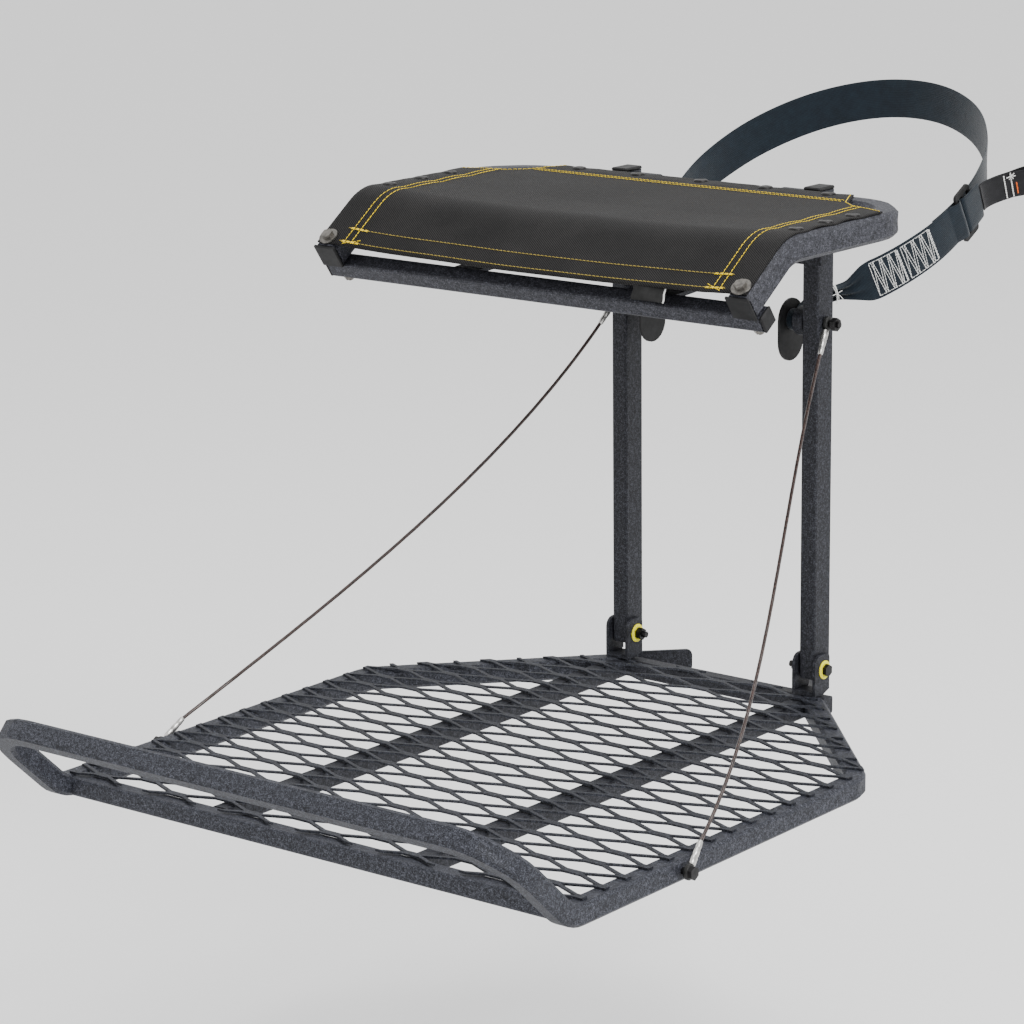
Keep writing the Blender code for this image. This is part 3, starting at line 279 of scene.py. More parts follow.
def coated_twill(name):
    """Charcoal coated cloth with a fine diagonal twill."""
    look = Look(name, (0.02, 0.02, 0.021), 0.62)
    look.shader.inputs["Specular IOR Level"].default_value = 0.12
    x, y, z = look.axis("X"), look.axis("Y"), look.axis("Z")
    down = look.math("ADD", y, z)
    diagonal = look.stripes(look.math("ADD", x, down), 0.0036)
    cross = look.stripes(look.math("SUBTRACT", x, down), 0.0024)
    weave = look.math("MULTIPLY", diagonal, look.math("MULTIPLY_ADD", cross, 0.6, 0.4))
    cloud = look.noise(14, 5.0, 0.6)
    tone = look.math("MULTIPLY_ADD", weave, 0.62, look.math("MULTIPLY", cloud, 0.55))
    stops = [(0.28, (0.001, 0.001, 0.001)), (0.50, (0.0045, 0.0045, 0.0048)), (0.82, (0.034, 0.032, 0.031))]
    look.colour(look.ramp(tone, stops))
    look.roughness(cloud, 0.5, 0.78)
    look.bump(weave, 0.0003, 0.9)
    return look.material


def thread(name, colour, dark):
    """Twisted sewing thread."""
    look = Look(name, colour, 0.6)
    look.colour(look.ramp(look.noise(900, 3.0), [(0.3, dark), (0.62, colour)]))
    look.bump(look.noise(2500, 2.0), 0.0001)
    return look.material


def cable_coat(name):
    """Twisted wire cable under a thin dark coat."""
    look = Look(name, (0.03, 0.022, 0.020), 0.32)
    stops = [(0.35, (0.010, 0.008, 0.008)), (0.7, (0.075, 0.045, 0.038))]
    look.colour(look.ramp(look.noise(500, 3.0), stops))
    look.shader.inputs["Coat Weight"].default_value = 0.4
    look.bump(look.noise(1200, 2.0), 0.00008)
    return look.material


def paint_nodes():
    """Gives every carried-over CAD node its material and a small bevel on its edges."""
    blue = powder_coat("powder_blue", (0.005, 0.0055, 0.008), (0.036, 0.038, 0.048))
    seat_blue = powder_coat("powder_seat", (0.006, 0.0065, 0.009), (0.038, 0.039, 0.048))
    # Darker copy of the blue powder coat: painted shade on the uprights, the rear bar, the deck ribs and the
    # other parts given it below.
    dark = powder_coat("powder_blue_painted_shade", (0.003, 0.0032, 0.0045), (0.022, 0.023, 0.029))
    tread = powder_coat("powder_tread", (0.003, 0.0033, 0.0048), (0.024, 0.026, 0.034))
    black = moulded("black_plastic", (0.006, 0.006, 0.0065), 0.5)
    hardware = plated("black_oxide", (0.030, 0.029, 0.030), 0.35)
    zinc = plated("zinc", (0.20, 0.19, 0.175), 0.34)
    yellow = moulded("yellow_bushing", (0.72, 0.62, 0.02), 0.4)
    looks = {
        "platform_loop": blue, "seat_tube": seat_blue, "seat_crossbar": seat_blue, "deck_grille": tread,
        "front_bar": blue, "rear_bar": dark, "upright_tie": dark, "strap_slide": black,
    }
    for _, word in SIDES:
        for start, look in (
            ("upright_", dark), ("upright_cap_", black), ("strap_lug_", dark), ("keeper_plate_", black),
            ("anchor_bolt_", hardware), ("anchor_nut_", hardware), ("rail_bolt_", hardware),
            ("fold_bolt_", hardware), ("fold_nut_", hardware), ("fold_bushing_outer_", yellow),
            ("fold_bushing_inner_", yellow), ("seat_pin_", zinc), ("seat_bolt_", zinc), ("seat_nut_", zinc),
            ("seat_barrel_", dark), ("seat_strut_", dark), ("clevis_", dark), ("tree_blade_", dark),
            ("deck_rib_", dark), ("rail_plug_", black), ("crossbar_plug_", black),
        ):
            looks[start + word] = look
    for name, look in looks.items():
        node = NODES[name]
        node.data.materials.clear()
        node.data.materials.append(look)
        bevel = node.modifiers.new("edge", "BEVEL")
        bevel.width = 0.0005 if name == "deck_grille" else 0.0008
        bevel.segments = 2
        bevel.limit_method = "ANGLE"
        bevel.angle_limit = radians(38)
        bevel.harden_normals = False


# Pieces

def piece(bm, name, look, body, replaced=()):
    """Makes a shaded object of a mesh, which rides a body and takes the place of CAD nodes."""
    mesh = bpy.data.meshes.new(name)
    bmesh.ops.recalc_face_normals(bm, faces=bm.faces)
    bm.to_mesh(mesh)
    bm.free()
    obj = bpy.data.objects.new(name, mesh)
    bpy.context.scene.collection.objects.link(obj)
    mesh.materials.append(look)
    mesh.shade_smooth()
    mesh.set_sharp_from_angle(angle=radians(50))
    if body:
        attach(obj, body)
    if replaced:
        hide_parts(*replaced)
    return obj


def skin(bm, rings):
    """Joins rings of vertices, each with the next, by quads."""
    for near, far in zip(rings, rings[1:]):
        for k in range(len(near)):
            after = (k + 1) % len(near)
            bm.faces.new((near[k], near[after], far[after], far[k]))


def capped_skin(bm, rings):
    skin(bm, rings)
    bm.faces.new(rings[0][::-1])
    bm.faces.new(rings[-1])


def bend_seat(point):
    """Carries a point of the unbent sling over the front bend of the seat's rails."""
    run = SEAT_BEND_Y - point.y
    if run <= 0:
        return point.copy()
    lift = point.z - SEAT_Z
    turned = min(run / SEAT_BEND_R, SEAT_SLOPE)
    rest = run - SEAT_BEND_R * turned
    forward = (SEAT_BEND_R + lift) * sin(turned) + rest * cos(turned)
    drop = SEAT_BEND_R - (SEAT_BEND_R + lift) * cos(turned) + rest * sin(turned)
    return Vector((point.x, SEAT_BEND_Y - forward, SEAT_Z - drop))


SIDE_SNAPS = (-0.277, -0.217, -0.161)
REAR_SNAPS = (-0.185, -0.095, 0.0, 0.095, 0.185)
SNAP_X, SNAP_Y = 0.2960, -0.0425
SIDE_ROWS = ((0.038, -0.1085), (0.048, -0.1035))  # inset from the side, and where the row ends
REAR_ROWS, HEM_RUNS = (0.041, 0.048), (0.006, 0.028)


def sling_sag(x, y):
    """The cloth dips between the rails and the rear bar, and pulls in small puckers at its snaps."""
    inner = SEAT_X - SEAT_T / 2
    across = max(0.0, 1 - (x / inner) ** 2)
    depth = (-0.060 - y) / (-0.060 - FABRIC_FRONT)
    along = max(0.0, min(1.0, depth * 2.2)) if depth > 0 else 0.0
    sag = -0.0075 * across**0.8 * along
    rim = abs(x) - 0.262
    if rim > 0:
        sag += 0.0004 - 0.0011 * max(0.0, 1 - min(abs(y - mark) for mark in SIDE_SNAPS) / 0.020)
    if y > -0.062:
        sag += 0.0004 - 0.0011 * max(0.0, 1 - min(abs(x - mark) for mark in REAR_SNAPS) / 0.024)
    return sag + 0.0007 * across * along * sin(9 * y + 5 * x) * sin(31 * x - 14 * y)


def sling_point(x, y, lift=0.0):
    """A point on the sling's top in its unbent plan, carried to the seat and into the world frame."""
    top = Vector((x, y, FABRIC_BOTTOM + FABRIC_T + sling_sag(x, y) + lift))
    bent = bend_seat(top)
    bent.y += FRAME_Y
    return bent


def between(value, marks, depth):
    """How far an edge draws in between its fasteners."""
    for near, far in zip(marks, marks[1:]):
        low, high = min(near, far), max(near, far)
        if low < value < high:
            return depth * sin(pi * (value - low) / (high - low)) ** 2
    return 0.0


def sling_edge(y):
    """Half width of the sling, drawn in between its snaps, with its rear corners notched out."""
    for (near_y, near_x), (far_y, far_x) in zip(FABRIC_NOTCH, FABRIC_NOTCH[1:]):
        if near_y <= y <= far_y:
            return near_x + (far_x - near_x) * (y - near_y) / (far_y - near_y)
    return FABRIC_HALF - between(y, SIDE_SNAPS, 0.0030)


def build_sling(look):
    columns = 90
    flap = FABRIC_NOTCH[0][0]
    levels = [FABRIC_FRONT + (flap - FABRIC_FRONT) * j / 52 for j in range(52)]
    levels += [flap + (FABRIC_BACK - flap) * j / 30 for j in range(31)]
    rows = len(levels) - 1
    bm = bmesh.new()
    grid = []
    for j, y in enumerate(levels):
        half = sling_edge(y)
        line = []
        for i in range(columns + 1):
            x = -half + 2 * half * i / columns
            drawn = between(x, REAR_SNAPS, 0.0030) * (j / rows) ** 12
            line.append(bm.verts.new(sling_point(x, y - drawn)))
        grid.append(line)
    for j in range(rows):
        for i in range(columns):
            bm.faces.new((grid[j][i], grid[j][i + 1], grid[j + 1][i + 1], grid[j + 1][i]))
    sling = piece(bm, "sling_cloth", look, None, ("seat_fabric",))
    thick = sling.modifiers.new("thickness", "SOLIDIFY")
    thick.thickness = FABRIC_T
    thick.offset = -1
    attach(sling, "seat")
    return sling


def stitch(bm, start, end, normal, radius):
    """One sewn stitch: a short thread that arches slightly over the cloth."""
    run = end - start
    side = run.normalized().cross(normal).normalized()
    rings = []
    for share, height in ((0.0, -0.4), (0.25, 0.75), (0.75, 0.75), (1.0, -0.4)):
        middle = start + run * share + normal * radius * height
        ring = []
        for k in range(5):
            a = 2 * pi * k / 5
            ring.append(bm.verts.new(middle + side * radius * cos(a) + normal * radius * 0.7 * sin(a)))
        rings.append(ring)
    skin(bm, rings)


def seam(bm, path, length=0.0042, gap=0.0012, radius=0.00042, lift=0.0004):
    """Stitches along a plan path on the sling."""
    for (x0, y0), (x1, y1) in zip(path, path[1:]):
        distance = hypot(x1 - x0, y1 - y0)
        count = max(1, int(distance / (length + gap)))
        for i in range(count):
            a, b = i / count, (i + length / (length + gap)) / count
            start = sling_point(x0 + (x1 - x0) * a, y0 + (y1 - y0) * a, lift)
            end = sling_point(x0 + (x1 - x0) * b, y0 + (y1 - y0) * b, lift)
            beside = sling_point(x0 + (x1 - x0) * a + 0.001, y0 + (y1 - y0) * a + 0.001, lift)
            normal = (end - start).cross(beside - start).normalized()
            if normal.z < 0:
                normal = -normal
            stitch(bm, start, end, normal, radius)


def bright_rows():
    """Double rows along both sides and the back, and one along each notched corner."""
    rows = []
    for side, _ in SIDES:
        for inset, back in SIDE_ROWS:
            x = side * (FABRIC_HALF - inset)
            rows.append([(x, FABRIC_FRONT + 0.004), (x, -0.30), (x, -0.16), (x, back)])
        rows.append([(side * (x - 0.003), y - 0.002) for y, x in FABRIC_NOTCH])
    for inset in REAR_ROWS:
        y = FABRIC_BACK - inset
        rows.append([(-0.228, y), (0, y), (0.228, y)])
    return rows


def hem_rows():
    """Two rows along the front hem."""
    rows = []
    for run in HEM_RUNS:
        y = FABRIC_FRONT + run
        rows.append([(-FABRIC_HALF + 0.030, y), (0, y), (FABRIC_HALF - 0.030, y)])
    return rows


def build_stitching(name, look, rows):
    bm = bmesh.new()
    for row in rows:
        seam(bm, row)
    return piece(bm, name, look, "seat")


def tack_rows():
    """Dense short rows where the side rows meet the hem."""
    rows = []
    for side, _ in SIDES:
        outer = side * (FABRIC_HALF - 0.034)
        inner = side * (FABRIC_HALF - 0.060)
        for run in HEM_RUNS:
            for shift in (-0.0009, 0.0, 0.0009):
                y = FABRIC_FRONT + run + shift
                rows.append([(outer, y), (inner, y)])
        rows.append([(side * (FABRIC_HALF - 0.037), FABRIC_FRONT + 0.002), (inner, FABRIC_FRONT + 0.012)])
    return rows


def turned(bm, profile, centre, normal, steps=28):
    """Adds a closed turned solid from (radius, height) points, foot to top."""
    turn = Vector(normal).to_track_quat("Z", "Y").to_matrix()
    rings = []
    for radius, height in profile:
        if radius < 1e-6:
            rings.append([bm.verts.new(centre + turn @ Vector((0, 0, height)))])
            continue
        ring = []
        for k in range(steps):
            a = 2 * pi * k / steps
            ring.append(bm.verts.new(centre + turn @ Vector((radius * cos(a), radius * sin(a), height))))
        rings.append(ring)
    for near, far in zip(rings, rings[1:]):
        for k in range(steps):
            after = (k + 1) % steps
            corners = [near[k % len(near)], near[after % len(near)], far[after % len(far)], far[k % len(far)]]
            unique = list(dict.fromkeys(corners))
            if len(unique) > 2:
                bm.faces.new(unique)


def build_snaps(look):
    """Low round fasteners that hold the cloth on the rails and the rear bar."""
    bm = bmesh.new()
    profile = [(0, 0), (0.0088, 0), (0.0088, 0.0009), (0.0078, 0.0020)]
    profile += [(0.0055, 0.0026), (0.0045, 0.0022), (0, 0.0020)]
    places = [(side * SNAP_X, y) for side, _ in SIDES for y in SIDE_SNAPS]
    places += [(x, SNAP_Y) for x in REAR_SNAPS]
    for x, y in places:
        turned(bm, profile, sling_point(x, y, 0.0001), (0, 0, 1))
    return piece(bm, "cloth_snaps", look, "seat")


# Straps, in the frame of the uprights' centre plane; finish_strap moves them to the world

TILT_R = 0.207  # the strap's rise is measured at this radius
WRAP_STEPS, WRAP_REACH = 12, 1.55  # webbing round a bar, and how far it stands off along the strap
RIBBON_COLUMNS, PLEATS = 22, 2.5


def strap_frame(angle, radius):
    """Point, outward normal and width direction of webbing laid round the trunk at an angle from +X."""
    place = Vector((radius * cos(angle), TRUNK_Y + radius * sin(angle), 0))
    place.z = STRAP_Z + STRAP_TILT * (TRUNK_Y + TILT_R * sin(angle))
    normal = Vector((cos(angle), sin(angle), 0))
    along = Vector((-sin(angle), cos(angle), STRAP_TILT * cos(angle))).normalized()
    return place, normal, normal.cross(along).normalized()


def lay(start, end, r_start, r_end, count):
    """Flat webbing on the trunk between two angles in degrees."""
    stations = []
    for i in range(count):
        share = i / (count - 1)
        angle = radians(start + (end - start) * share)
        place, normal, across = strap_frame(angle, r_start + (r_end - r_start) * share)
        stations.append((place, across, normal, WEBBING_W, WEBBING_T))
    return stations


def turned_over(stations):
    return [(place, across, -normal, width, thick) for place, across, normal, width, thick in stations]


def wrap_bar(bar_angle, outer_r, inner_r, sign):
    """Webbing that turns round a bar of the slide: over it, then back below it."""
    place, normal, across = strap_frame(bar_angle, (outer_r + inner_r) / 2)
    along = across.cross(normal) * sign
    half = (outer_r - inner_r) / 2
    stations = []
    for step in range(1, WRAP_STEPS):
        turn = pi * step / WRAP_STEPS
        offset = normal * half * cos(turn) + along * half * WRAP_REACH * sin(turn)
        facing = (normal * cos(turn) + along * sin(turn)).normalized()
        stations.append((place + offset, across, facing, WEBBING_W, WEBBING_T))
    return stations


GATHER = (
    (0.1107, 0.0105, 0.4715, 0.0165, 0.0085), (0.1113, 0.0260, 0.4790, 0.0180, 0.0090),
    (0.1185, 0.0430, 0.4860, 0.0190, 0.0095), (0.1290, 0.0590, 0.4920, 0.0175, 0.0095),
)
NECK_SPREAD = ((-48.0, 0.0235, 0.0085), (-45.0, 0.034, 0.0060), (-42.0, 0.0455, 0.0035))


def eye_to_trunk(side):
    """The gathered webbing from the spool to where it spreads on the trunk."""
    stations = []
    for i, (x, y, z, width, thick) in enumerate(GATHER):
        after = Vector(GATHER[min(i + 1, len(GATHER) - 1)][:3])
        along = (after - Vector(GATHER[max(i - 1, 0)][:3])).normalized()
        along.x *= side
        normal = Vector((side * along.y, -side * along.x, 0)).normalized()
        across = side * normal.cross(along).normalized()
        stations.append((Vector((side * x, y, z)), across, normal, width, thick))
    return stations


def spread(side, radius):
    """Where the gathered webbing opens to its full width on the trunk."""
    stations = []
    for degrees, width, thick in NECK_SPREAD:
        angle = radians(degrees if side > 0 else 180 - degrees)
        place, normal, across = strap_frame(angle, radius)
        stations.append((place, across, normal, width, thick))
    return stations


def smoothed(stations, steps):
    """Adds stations on a smooth curve between the given ones."""
    made = []
    last = len(stations) - 1
    for i in range(last):
        around = [stations[min(max(i + k, 0), last)] for k in (-1, 0, 1, 2)]
        for step in range(steps):
            t = step / steps
            weights = (
                (-t + 2 * t**2 - t**3) / 2, (2 - 5 * t**2 + 3 * t**3) / 2,
                (t + 4 * t**2 - 3 * t**3) / 2, (t**3 - t**2) / 2,
            )
            blended = []
            for part in range(5):
                total = around[0][part] * weights[0]
                for station, weight in zip(around[1:], weights[1:]):
                    total = total + station[part] * weight
                blended.append(total)
            place, across, normal, width, thick = blended
            made.append((place, across.normalized(), normal.normalized(), width, thick))
    made.append(stations[-1])
    return made


def ribbon(bm, stations):
    """Closed strip of webbing; where it is gathered its section folds into pleats. U runs along it."""
    uv = bm.loops.layers.uv.verify()
    rings, travelled, run = [], 0.0, []
    for n, (place, across, normal, width, thick) in enumerate(stations):
        if n:
            travelled += (place - stations[n - 1][0]).length
        run.append(travelled)
        fold = max(0.0, (thick - 1.4 * WEBBING_T) / 2)
        ring = []
        for face in (1, -1):
            for i in range(RIBBON_COLUMNS + 1):
                share = i / RIBBON_COLUMNS if face > 0 else 1 - i / RIBBON_COLUMNS
                edge = min(1.0, 0.35 + 9 * min(share, 1 - share))
                wave = fold * cos(2 * pi * PLEATS * share + 0.6 * sin(40 * travelled))
                sag = 0.0002 * sin(70 * travelled + 6 * share)
                height = wave + sag + face * edge * WEBBING_T / 2
                vert = bm.verts.new(place + across * (share - 0.5) * width + normal * height)
                ring.append((vert, share))
        rings.append(ring)
    count = len(rings[0])
    for n, (near, far) in enumerate(zip(rings, rings[1:])):
        for i in range(count):
            after = (i + 1) % count
            corners = (
                (near[i], run[n]), (near[after], run[n]),
                (far[after], run[n + 1]), (far[i], run[n + 1]),
            )
            face = bm.faces.new([vert for (vert, _), _ in corners])
            for loop, ((_, share), along) in zip(face.loops, corners):
                loop[uv].uv = (along, share * WEBBING_W)
    bm.faces.new([vert for vert, _ in rings[0]])
    bm.faces.new([vert for vert, _ in reversed(rings[-1])])


def eye_loop(bm, side):
    """Loop of webbing round the spool."""
    uv = bm.loops.layers.uv.verify()
    centre = Vector((side * GATHER[0][0], 0, ANCHOR_Z))
    section = [(0.0086, -0.0040), (0.0092, -0.0046), (0.0130, -0.0046), (0.0136, -0.0036), (0.0131, -0.0012)]
    section += [(0.0136, 0.0012), (0.0130, 0.0046), (0.0092, 0.0046), (0.0086, 0.0040)]
    steps = 44
    rings = []
    for k in range(steps):
        a = 2 * pi * k / steps
        ring = []
        for radius, x in section:
            ring.append(bm.verts.new(centre + Vector((x, radius * cos(a), radius * sin(a)))))
        rings.append(ring)
    for k in range(steps):
        near, far = rings[k], rings[(k + 1) % steps]
        for i in range(len(section)):
            after = (i + 1) % len(section)
            face = bm.faces.new((near[i], near[after], far[after], far[i]))
            for loop, (share, step) in zip(face.loops, ((i, k), (i + 1, k), (i + 1, k + 1), (i, k + 1))):
                loop[uv].uv = (0.0019 * step, 0.004 * share)


def finish_strap(bm, name, look, replaced=()):
    bmesh.ops.translate(bm, vec=(0, FRAME_Y, 0), verts=bm.verts)
    obj = piece(bm, name, look, "frame", replaced)
    return obj


SECOND_R = STRAP_R + 0.0021  # the lead, laid over its own end
LEAD_BACK_TO = -13.0  # degrees


def build_straps(look, tail_look):
    bm = bmesh.new()
    opening = eye_to_trunk(1) + spread(1, SECOND_R + 0.001)
    stations = smoothed(opening + lay(-39, LEFT_BAR_AT - 3.5, SECOND_R, SECOND_R, 10), 5)
    over_r = OUTER_R + END_BAR_LIFT
    stations += lay(LEFT_BAR_AT - 0.2, LEFT_BAR_AT, over_r, over_r, 2)[:1]
    stations += wrap_bar(radians(LEFT_BAR_AT), over_r, STRAP_R, 1)
    stations += turned_over(lay(LEFT_BAR_AT - 0.2, LEAD_BACK_TO, STRAP_R, STRAP_R, 8))
    ribbon(bm, stations)
    eye_loop(bm, 1)
    finish_strap(bm, "strap_lead_webbing", look, ("strap_lead",))
    bm = bmesh.new()
    stations = lay(BAND_END_AT, MIDDLE_BAR_AT + 0.2, OUTER_R + 2 * END_BAR_LIFT, OUTER_R, 8)
    stations += wrap_bar(radians(MIDDLE_BAR_AT), OUTER_R, STRAP_R, -1)
    stations += turned_over(lay(MIDDLE_BAR_AT + 0.2, 217.0, STRAP_R, STRAP_R, 110))
    closing = lay(218, 219, STRAP_R, STRAP_R, 2) + spread(-1, STRAP_R + 0.003)[::-1] + eye_to_trunk(-1)[::-1]
    stations += turned_over(smoothed(closing, 5))
    ribbon(bm, stations)
    eye_loop(bm, -1)
    finish_strap(bm, "strap_band_webbing", look, ("strap_band",))
    build_tail(tail_look)


def tail_course():
    """Start, bend, tip and width direction of the strap's free end."""
    start, normal, across = strap_frame(radians(BAND_END_AT), OUTER_R + 2 * END_BAR_LIFT)
    along = across.cross(normal)
    first = start + along * 0.0026
    bend = first + along * 0.018
    tip = bend + Vector((0.66, 0.52, 0.20)).normalized() * 0.059
    return first, bend, tip, across


TAIL_W = 0.037
TAIL_SEWN = 0.74  # share of the tail where the fold is sewn down


def tail_station(share, layer):
    """One of the tail's two layers, which part into an open loop behind its sewn rows."""
    first, bend, tip, across = tail_course()
    place = first.lerp(bend, share).lerp(bend.lerp(tip, share), share)
    heading = (bend - first).lerp(tip - bend, share).normalized()
    up = (across - heading * across.dot(heading)).normalized()
    normal = heading.cross(up)
    opening = max(0.0, (share - TAIL_SEWN) / (1 - TAIL_SEWN))
    part = 0.0009 + 0.0034 * sin(pi / 2 * opening)
    return place + normal * part * layer, up, normal * layer, TAIL_W, WEBBING_T


def build_tail(look):
    stations = [tail_station(i / 30, 1) for i in range(31)]
    place, up, normal, _, _ = tail_station(1.0, 1)
    other = tail_station(1.0, -1)[0]
    middle, half = (place + other) / 2, (place - other).length / 2
    heading = up.cross(normal)
    for step in range(1, 10):
        turn = pi * step / 10
        facing = normal * cos(turn) + heading * sin(turn)
        stations.append((middle + facing * half, up, facing, TAIL_W, WEBBING_T))
    stations += [tail_station(1 - i / 30, -1) for i in range(31)]
    bm = bmesh.new()
    ribbon(bm, stations)
    finish_strap(bm, "strap_tail_webbing", look, ("strap_tail",))


def stitch_line(bm, points, facing, radius, length=0.0035, gap=0.0007):
    """Sewn stitches between points in space."""
    for start, end in zip(points, points[1:]):
        count = max(1, round((end - start).length / (length + gap)))
        for i in range(count):
            near = start.lerp(end, i / count)
            far = start.lerp(end, (i + length / (length + gap)) / count)
            stitch(bm, near, far, facing, radius)


ZIGZAG_LEGS = 7
ZIGZAG_BLOCKS = ((-39.0, -28.6), (-27.4, -15.8))  # degrees along the lead


def on_lead(degrees, height):
    """A point on the face of the right-hand strap, height from its middle towards its upper edge."""
    place, normal, across = strap_frame(radians(degrees), SECOND_R + WEBBING_T / 2 + 0.0001)
    return place + across * height, normal


def build_strap_stitching(look, orange):
    """Two sewn blocks of crossed zigzags on the lead, and the rows at the tail's loop."""
    bm = bmesh.new()
    half = WEBBING_W / 2 - 0.0035
    for start, end in ZIGZAG_BLOCKS:
        legs = ZIGZAG_LEGS
        for phase in (0, 1):
            corners = []
            for i in range(legs + 1):
                shift = 0.5 * phase * (end - start) / legs
                degrees = min(start + (end - start) * i / legs + shift, end)
                corners.append((degrees, half if (i + phase) % 2 else -half))
            for near, far in zip(corners, corners[1:]):
                points = [
                    on_lead(near[0] + (far[0] - near[0]) * k / 4, near[1] + (far[1] - near[1]) * k / 4)
                    for k in range(5)
                ]
                stitch_line(bm, [point for point, _ in points], points[2][1], 0.00045)
        for degrees in (start, end, end - 0.35):
            points = [on_lead(degrees, -half), on_lead(degrees, half)]
            stitch_line(bm, [point for point, _ in points], points[0][1], 0.0005)
        for height in (-half, half):
            points = [on_lead(start + (end - start) * k / 8, height) for k in range(9)]
            stitch_line(bm, [point for point, _ in points], points[4][1], 0.00042)
    for share in (TAIL_SEWN - 0.10, TAIL_SEWN):
        for layer in (1, -1):
            place, up, normal, width, _ = tail_station(share, layer)
            face = place + normal * (WEBBING_T / 2 + 0.0002)
            ends = [face - up * width * 0.46, face + up * width * 0.46]
            stitch_line(bm, ends, normal, 0.0009, 0.0030, 0.0004)
    finish_strap(bm, "strap_thread", look)
    bm = bmesh.new()
    place, up, normal, width, _ = tail_station(TAIL_SEWN + 0.06, 1)
    face = place + normal * (WEBBING_T / 2 + 0.0003)
    stitch_line(bm, [face - up * width * 0.36, face + up * width * 0.10], normal, 0.0009, 0.006, 0.0002)
    finish_strap(bm, "tail_marker_thread", orange)


def thread_tube(bm, points, radius, sides=6):
    rings = []
    for i, point in enumerate(points):
        along = (points[min(i + 1, len(points) - 1)] - points[max(i - 1, 0)]).normalized()
        turn = along.to_track_quat("Z", "Y").to_matrix()
        ring = []
        for k in range(sides):
            a = 2 * pi * k / sides
            ring.append(bm.verts.new(point + turn @ Vector((radius * cos(a), radius * sin(a), 0))))
        rings.append(ring)
    capped_skin(bm, rings)


def build_ties(look):
    """White thread wound round each strap's gathered neck and knotted, and a tuft at the tail's sewn rows."""
    bm = bmesh.new()
    for side, _ in SIDES:
        place, across, normal, width, thick = eye_to_trunk(side)[3]
        along = across.cross(normal)
        for turn_no in range(4):
            shift = along * (0.0014 * turn_no - 0.002 + 0.0006 * sin(3 * turn_no))
            loop = []
            for k in range(29):
                a = 2 * pi * k / 28
                reach = across * (width / 2 + 0.0008) * cos(a) + normal * (thick / 2 + 0.0012) * sin(a)
                loop.append(place + shift + reach + along * 0.0012 * sin(a + turn_no))
            thread_tube(bm, loop, 0.0006)
        knot = place + normal * (thick / 2 + 0.0018)
        for k in range(5):
            a = 1.1 + 1.3 * k
            tip = knot + across * 0.010 * cos(a) + along * 0.008 * sin(a) + normal * 0.003
            droop = Vector((0, 0, -0.002))
            thread_tube(bm, [knot, knot.lerp(tip, 0.5) + normal * 0.0015, tip + droop], 0.0005)
    place, up, normal, width, _ = tail_station(TAIL_SEWN, 1)
    knot = place + up * width * 0.40 + normal * (WEBBING_T / 2 + 0.0010)
    heading = up.cross(normal)
    for k in range(6):
        a = 0.9 * k
        tip = knot + up * 0.005 * cos(a) + heading * 0.006 * sin(a) + normal * 0.0015
        thread_tube(bm, [knot, knot.lerp(tip, 0.5) + normal * 0.0012, tip], 0.0006)
    finish_strap(bm, "strap_ties", look)


# Cables

EYE_UP = Vector((0.1579, 0, ANCHOR_Z))
EYE_LOW = Vector((0.3890, -0.610, -0.0111))
EYE_TO_FERRULE, FERRULE, CABLE_R = 0.0125, 0.030, 0.0021
FERRULE_FOOT = 0.0095
CABLE_BOW = {"left": 0.036, "right": 0.048}


def cable_point(side, word, share):
    """Point on a cable that bows slightly down and back above its lower ferrule."""
    start = Vector((side * EYE_UP.x, EYE_UP.y, EYE_UP.z))
    end = Vector((side * EYE_LOW.x, EYE_LOW.y, EYE_LOW.z))
    length = (end - start).length
    run = (end - start) / length
    level = Vector((run.x, run.y, 0))
    square = Vector((level.x * run.z, level.y * run.z, -level.length_squared))
    bowed = min(share / (1 - (EYE_TO_FERRULE + FERRULE) / length), 1.0)
    point = start.lerp(end, share) + square / level.length * CABLE_BOW[word] * 4 * bowed * (1 - bowed)
    upper_slope, lower_slope = 0.66, 0.53
    outward = (
        upper_slope * (share**3 - 2 * share**2 + share)
        + 3 * share**2 - 2 * share**3
        + lower_slope * (share**3 - share**2)
    )
    point.x += (end.x - start.x) * (outward - share)
    point.y += FRAME_Y
    return point


def build_cable(side, word, look):
    """Twisted wires under a thin coat, running between the frame and the folding platform."""
    length = (EYE_LOW - EYE_UP).length
    clear = (EYE_TO_FERRULE + FERRULE - 0.004) / length
    steps, sides, lobes = 210, 21, 7
    bm = bmesh.new()
    rings = []
    for i in range(steps + 1):
        share = clear + (1 - 2 * clear) * i / steps
        place = cable_point(side, word, share)
        ahead = (cable_point(side, word, share + 0.002) - cable_point(side, word, share - 0.002)).normalized()
        level = ahead.cross(Vector((0, 0, 1))).normalized()
        upward = level.cross(ahead)
        ring = []
        for k in range(sides):
            a = 2 * pi * k / sides
            radius = CABLE_R * (0.97 + 0.05 * cos(lobes * a + 150 * share * length))
            ring.append(bm.verts.new(place + level * radius * cos(a) + upward * radius * sin(a)))
        rings.append(ring)
    capped_skin(bm, rings)
    cable = piece(bm, "coated_cable_" + word, look, None, ("cable_" + word,))
    cable_point(side, word, clear)
    cable_point(side, word, 1 - clear)
    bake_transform(cable)


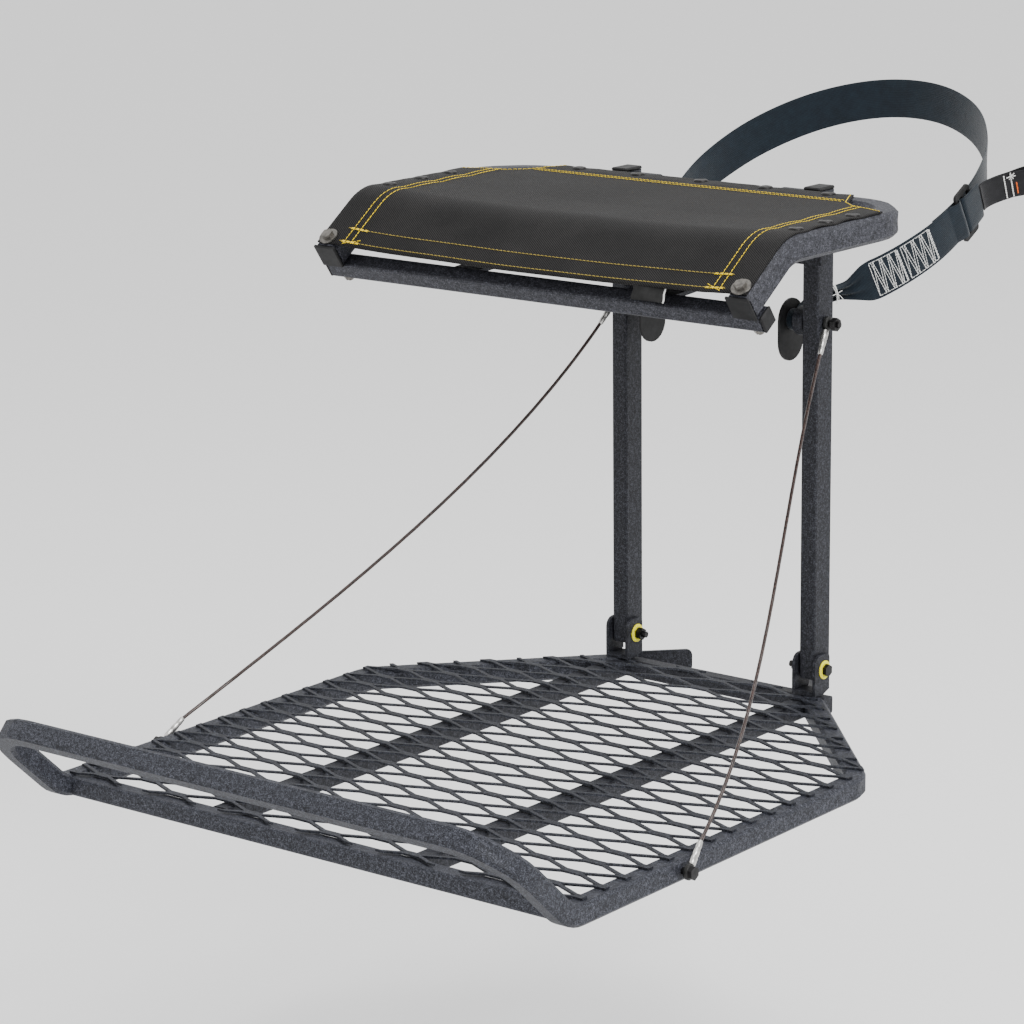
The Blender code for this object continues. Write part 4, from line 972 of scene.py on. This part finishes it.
def build_cable_end(side, word, where, black, metal):
    """Black eyelet round its bolt and a tapered, crimped ferrule that holds the cable."""
    length = (EYE_LOW - EYE_UP).length
    body = "frame" if where == "upper" else "platform"
    at, sign = (0.0, 1) if where == "upper" else (1.0, -1)
    bolt_at = cable_point(side, word, at)
    foot = cable_point(side, word, at + sign * FERRULE_FOOT / length)
    tip = cable_point(side, word, at + sign * (EYE_TO_FERRULE + FERRULE) / length)
    bm = bmesh.new()
    profile = [(0.0044, -0.0028), (0.0050, -0.0033), (0.0074, -0.0031), (0.0087, -0.0018)]
    profile += [(0.0087, 0.0018), (0.0074, 0.0031), (0.0050, 0.0033), (0.0044, 0.0028), (0.0044, -0.0028)]
    turned(bm, profile, bolt_at, (1, 0, 0))
    eyelet = piece(bm, f"cable_eyelet_{where}_{word}", black, body, (f"cable_eye_{where}_{word}",))
    along = (tip - foot).normalized()
    flat = along.cross(Vector((1, 0, 0))).normalized()
    thin = flat.cross(along)
    shape = [(0.0, 0.0036, 0.0029), (0.06, 0.0047, 0.0034), (0.30, 0.0048, 0.0035), (0.34, 0.0041, 0.0031)]
    shape += [(0.40, 0.0041, 0.0031), (0.44, 0.0045, 0.0034), (0.62, 0.0041, 0.0033), (0.66, 0.0036, 0.0030)]
    shape += [(0.72, 0.0036, 0.0030), (0.76, 0.0039, 0.0032), (0.97, 0.0032, 0.0029), (1.0, 0.0025, 0.0023)]
    bm = bmesh.new()
    rings = []
    for share, wide, high in shape:
        middle = foot.lerp(tip, share)
        ring = []
        for k in range(20):
            a = 2 * pi * k / 20
            ring.append(bm.verts.new(middle + flat * wide * cos(a) + thin * high * sin(a)))
        rings.append(ring)
    capped_skin(bm, rings)
    ferrule = piece(bm, f"cable_ferrule_{where}_{word}", metal, body)


def build_tag(black, white):
    """Blank folded tag sewn under the front hem, right of the middle."""
    length, thickness = 0.018, 0.0008
    edge = sling_point(0.178, FABRIC_FRONT + 0.002)
    for name, look, x0, x1 in (("hem_tag", black, 0.155, 0.198), ("hem_tag_edge", white, 0.198, 0.1998)):
        bm = bmesh.new()
        rows = []
        for j in range(7):
            share = j / 6
            down = Vector((0, -0.35, -1)).normalized() * length * share
            row = []
            for i in range(7):
                x = x0 + (x1 - x0) * i / 6
                ripple = 0.0008 * sin(8 * share + 70 * x)
                row.append(bm.verts.new(Vector((x, edge.y + ripple, edge.z - thickness)) + down))
            rows.append(row)
        for near, far in zip(rows, rows[1:]):
            for i in range(6):
                bm.faces.new((near[i], near[i + 1], far[i + 1], far[i]))
        tag = piece(bm, name, look, "seat")
        thick = tag.modifiers.new("thickness", "SOLIDIFY")
        thick.thickness = thickness


build_camera()
build_studio()
paint_nodes()
yellow_thread = thread("thread_yellow", (0.90, 0.66, 0.02), (0.62, 0.42, 0.01))
khaki_thread = thread("thread_khaki", (0.42, 0.32, 0.06), (0.18, 0.13, 0.02))
white_thread = thread("thread_white", (0.80, 0.80, 0.78), (0.45, 0.45, 0.44))
orange_thread = thread("thread_orange", (0.75, 0.14, 0.02), (0.40, 0.06, 0.01))
sling = build_sling(coated_twill("sling_twill"))
sewn = [
    build_stitching("stitching_bright", yellow_thread, bright_rows()),
    build_stitching("stitching_hem", khaki_thread, hem_rows()),
    build_stitching("stitching_tacks", yellow_thread, tack_rows()),
    build_snaps(plated("snap_metal", (0.030, 0.029, 0.029), 0.38)),
]
build_tag(
    moulded("tag_black", (0.010, 0.010, 0.010), 0.7),
    thread("tag_white", (0.75, 0.75, 0.73), (0.5, 0.5, 0.5)),
)
build_straps(
    webbing("webbing_navy", (0.0016, 0.0040, 0.0075), (0.0075, 0.017, 0.027)),
    webbing("webbing_black", (0.004, 0.004, 0.005), (0.020, 0.020, 0.023), 0.0013),
)
build_strap_stitching(white_thread, orange_thread)
build_ties(white_thread)
for side, word in SIDES:
    build_cable(side, word, cable_coat("cable_coat_" + word))
    for where in ("upper", "lower"):
        eyelet_look = moulded("eyelet_black", (0.012, 0.012, 0.012), 0.4)
        build_cable_end(side, word, where, eyelet_look, plated("ferrule", (0.62, 0.61, 0.59), 0.28))
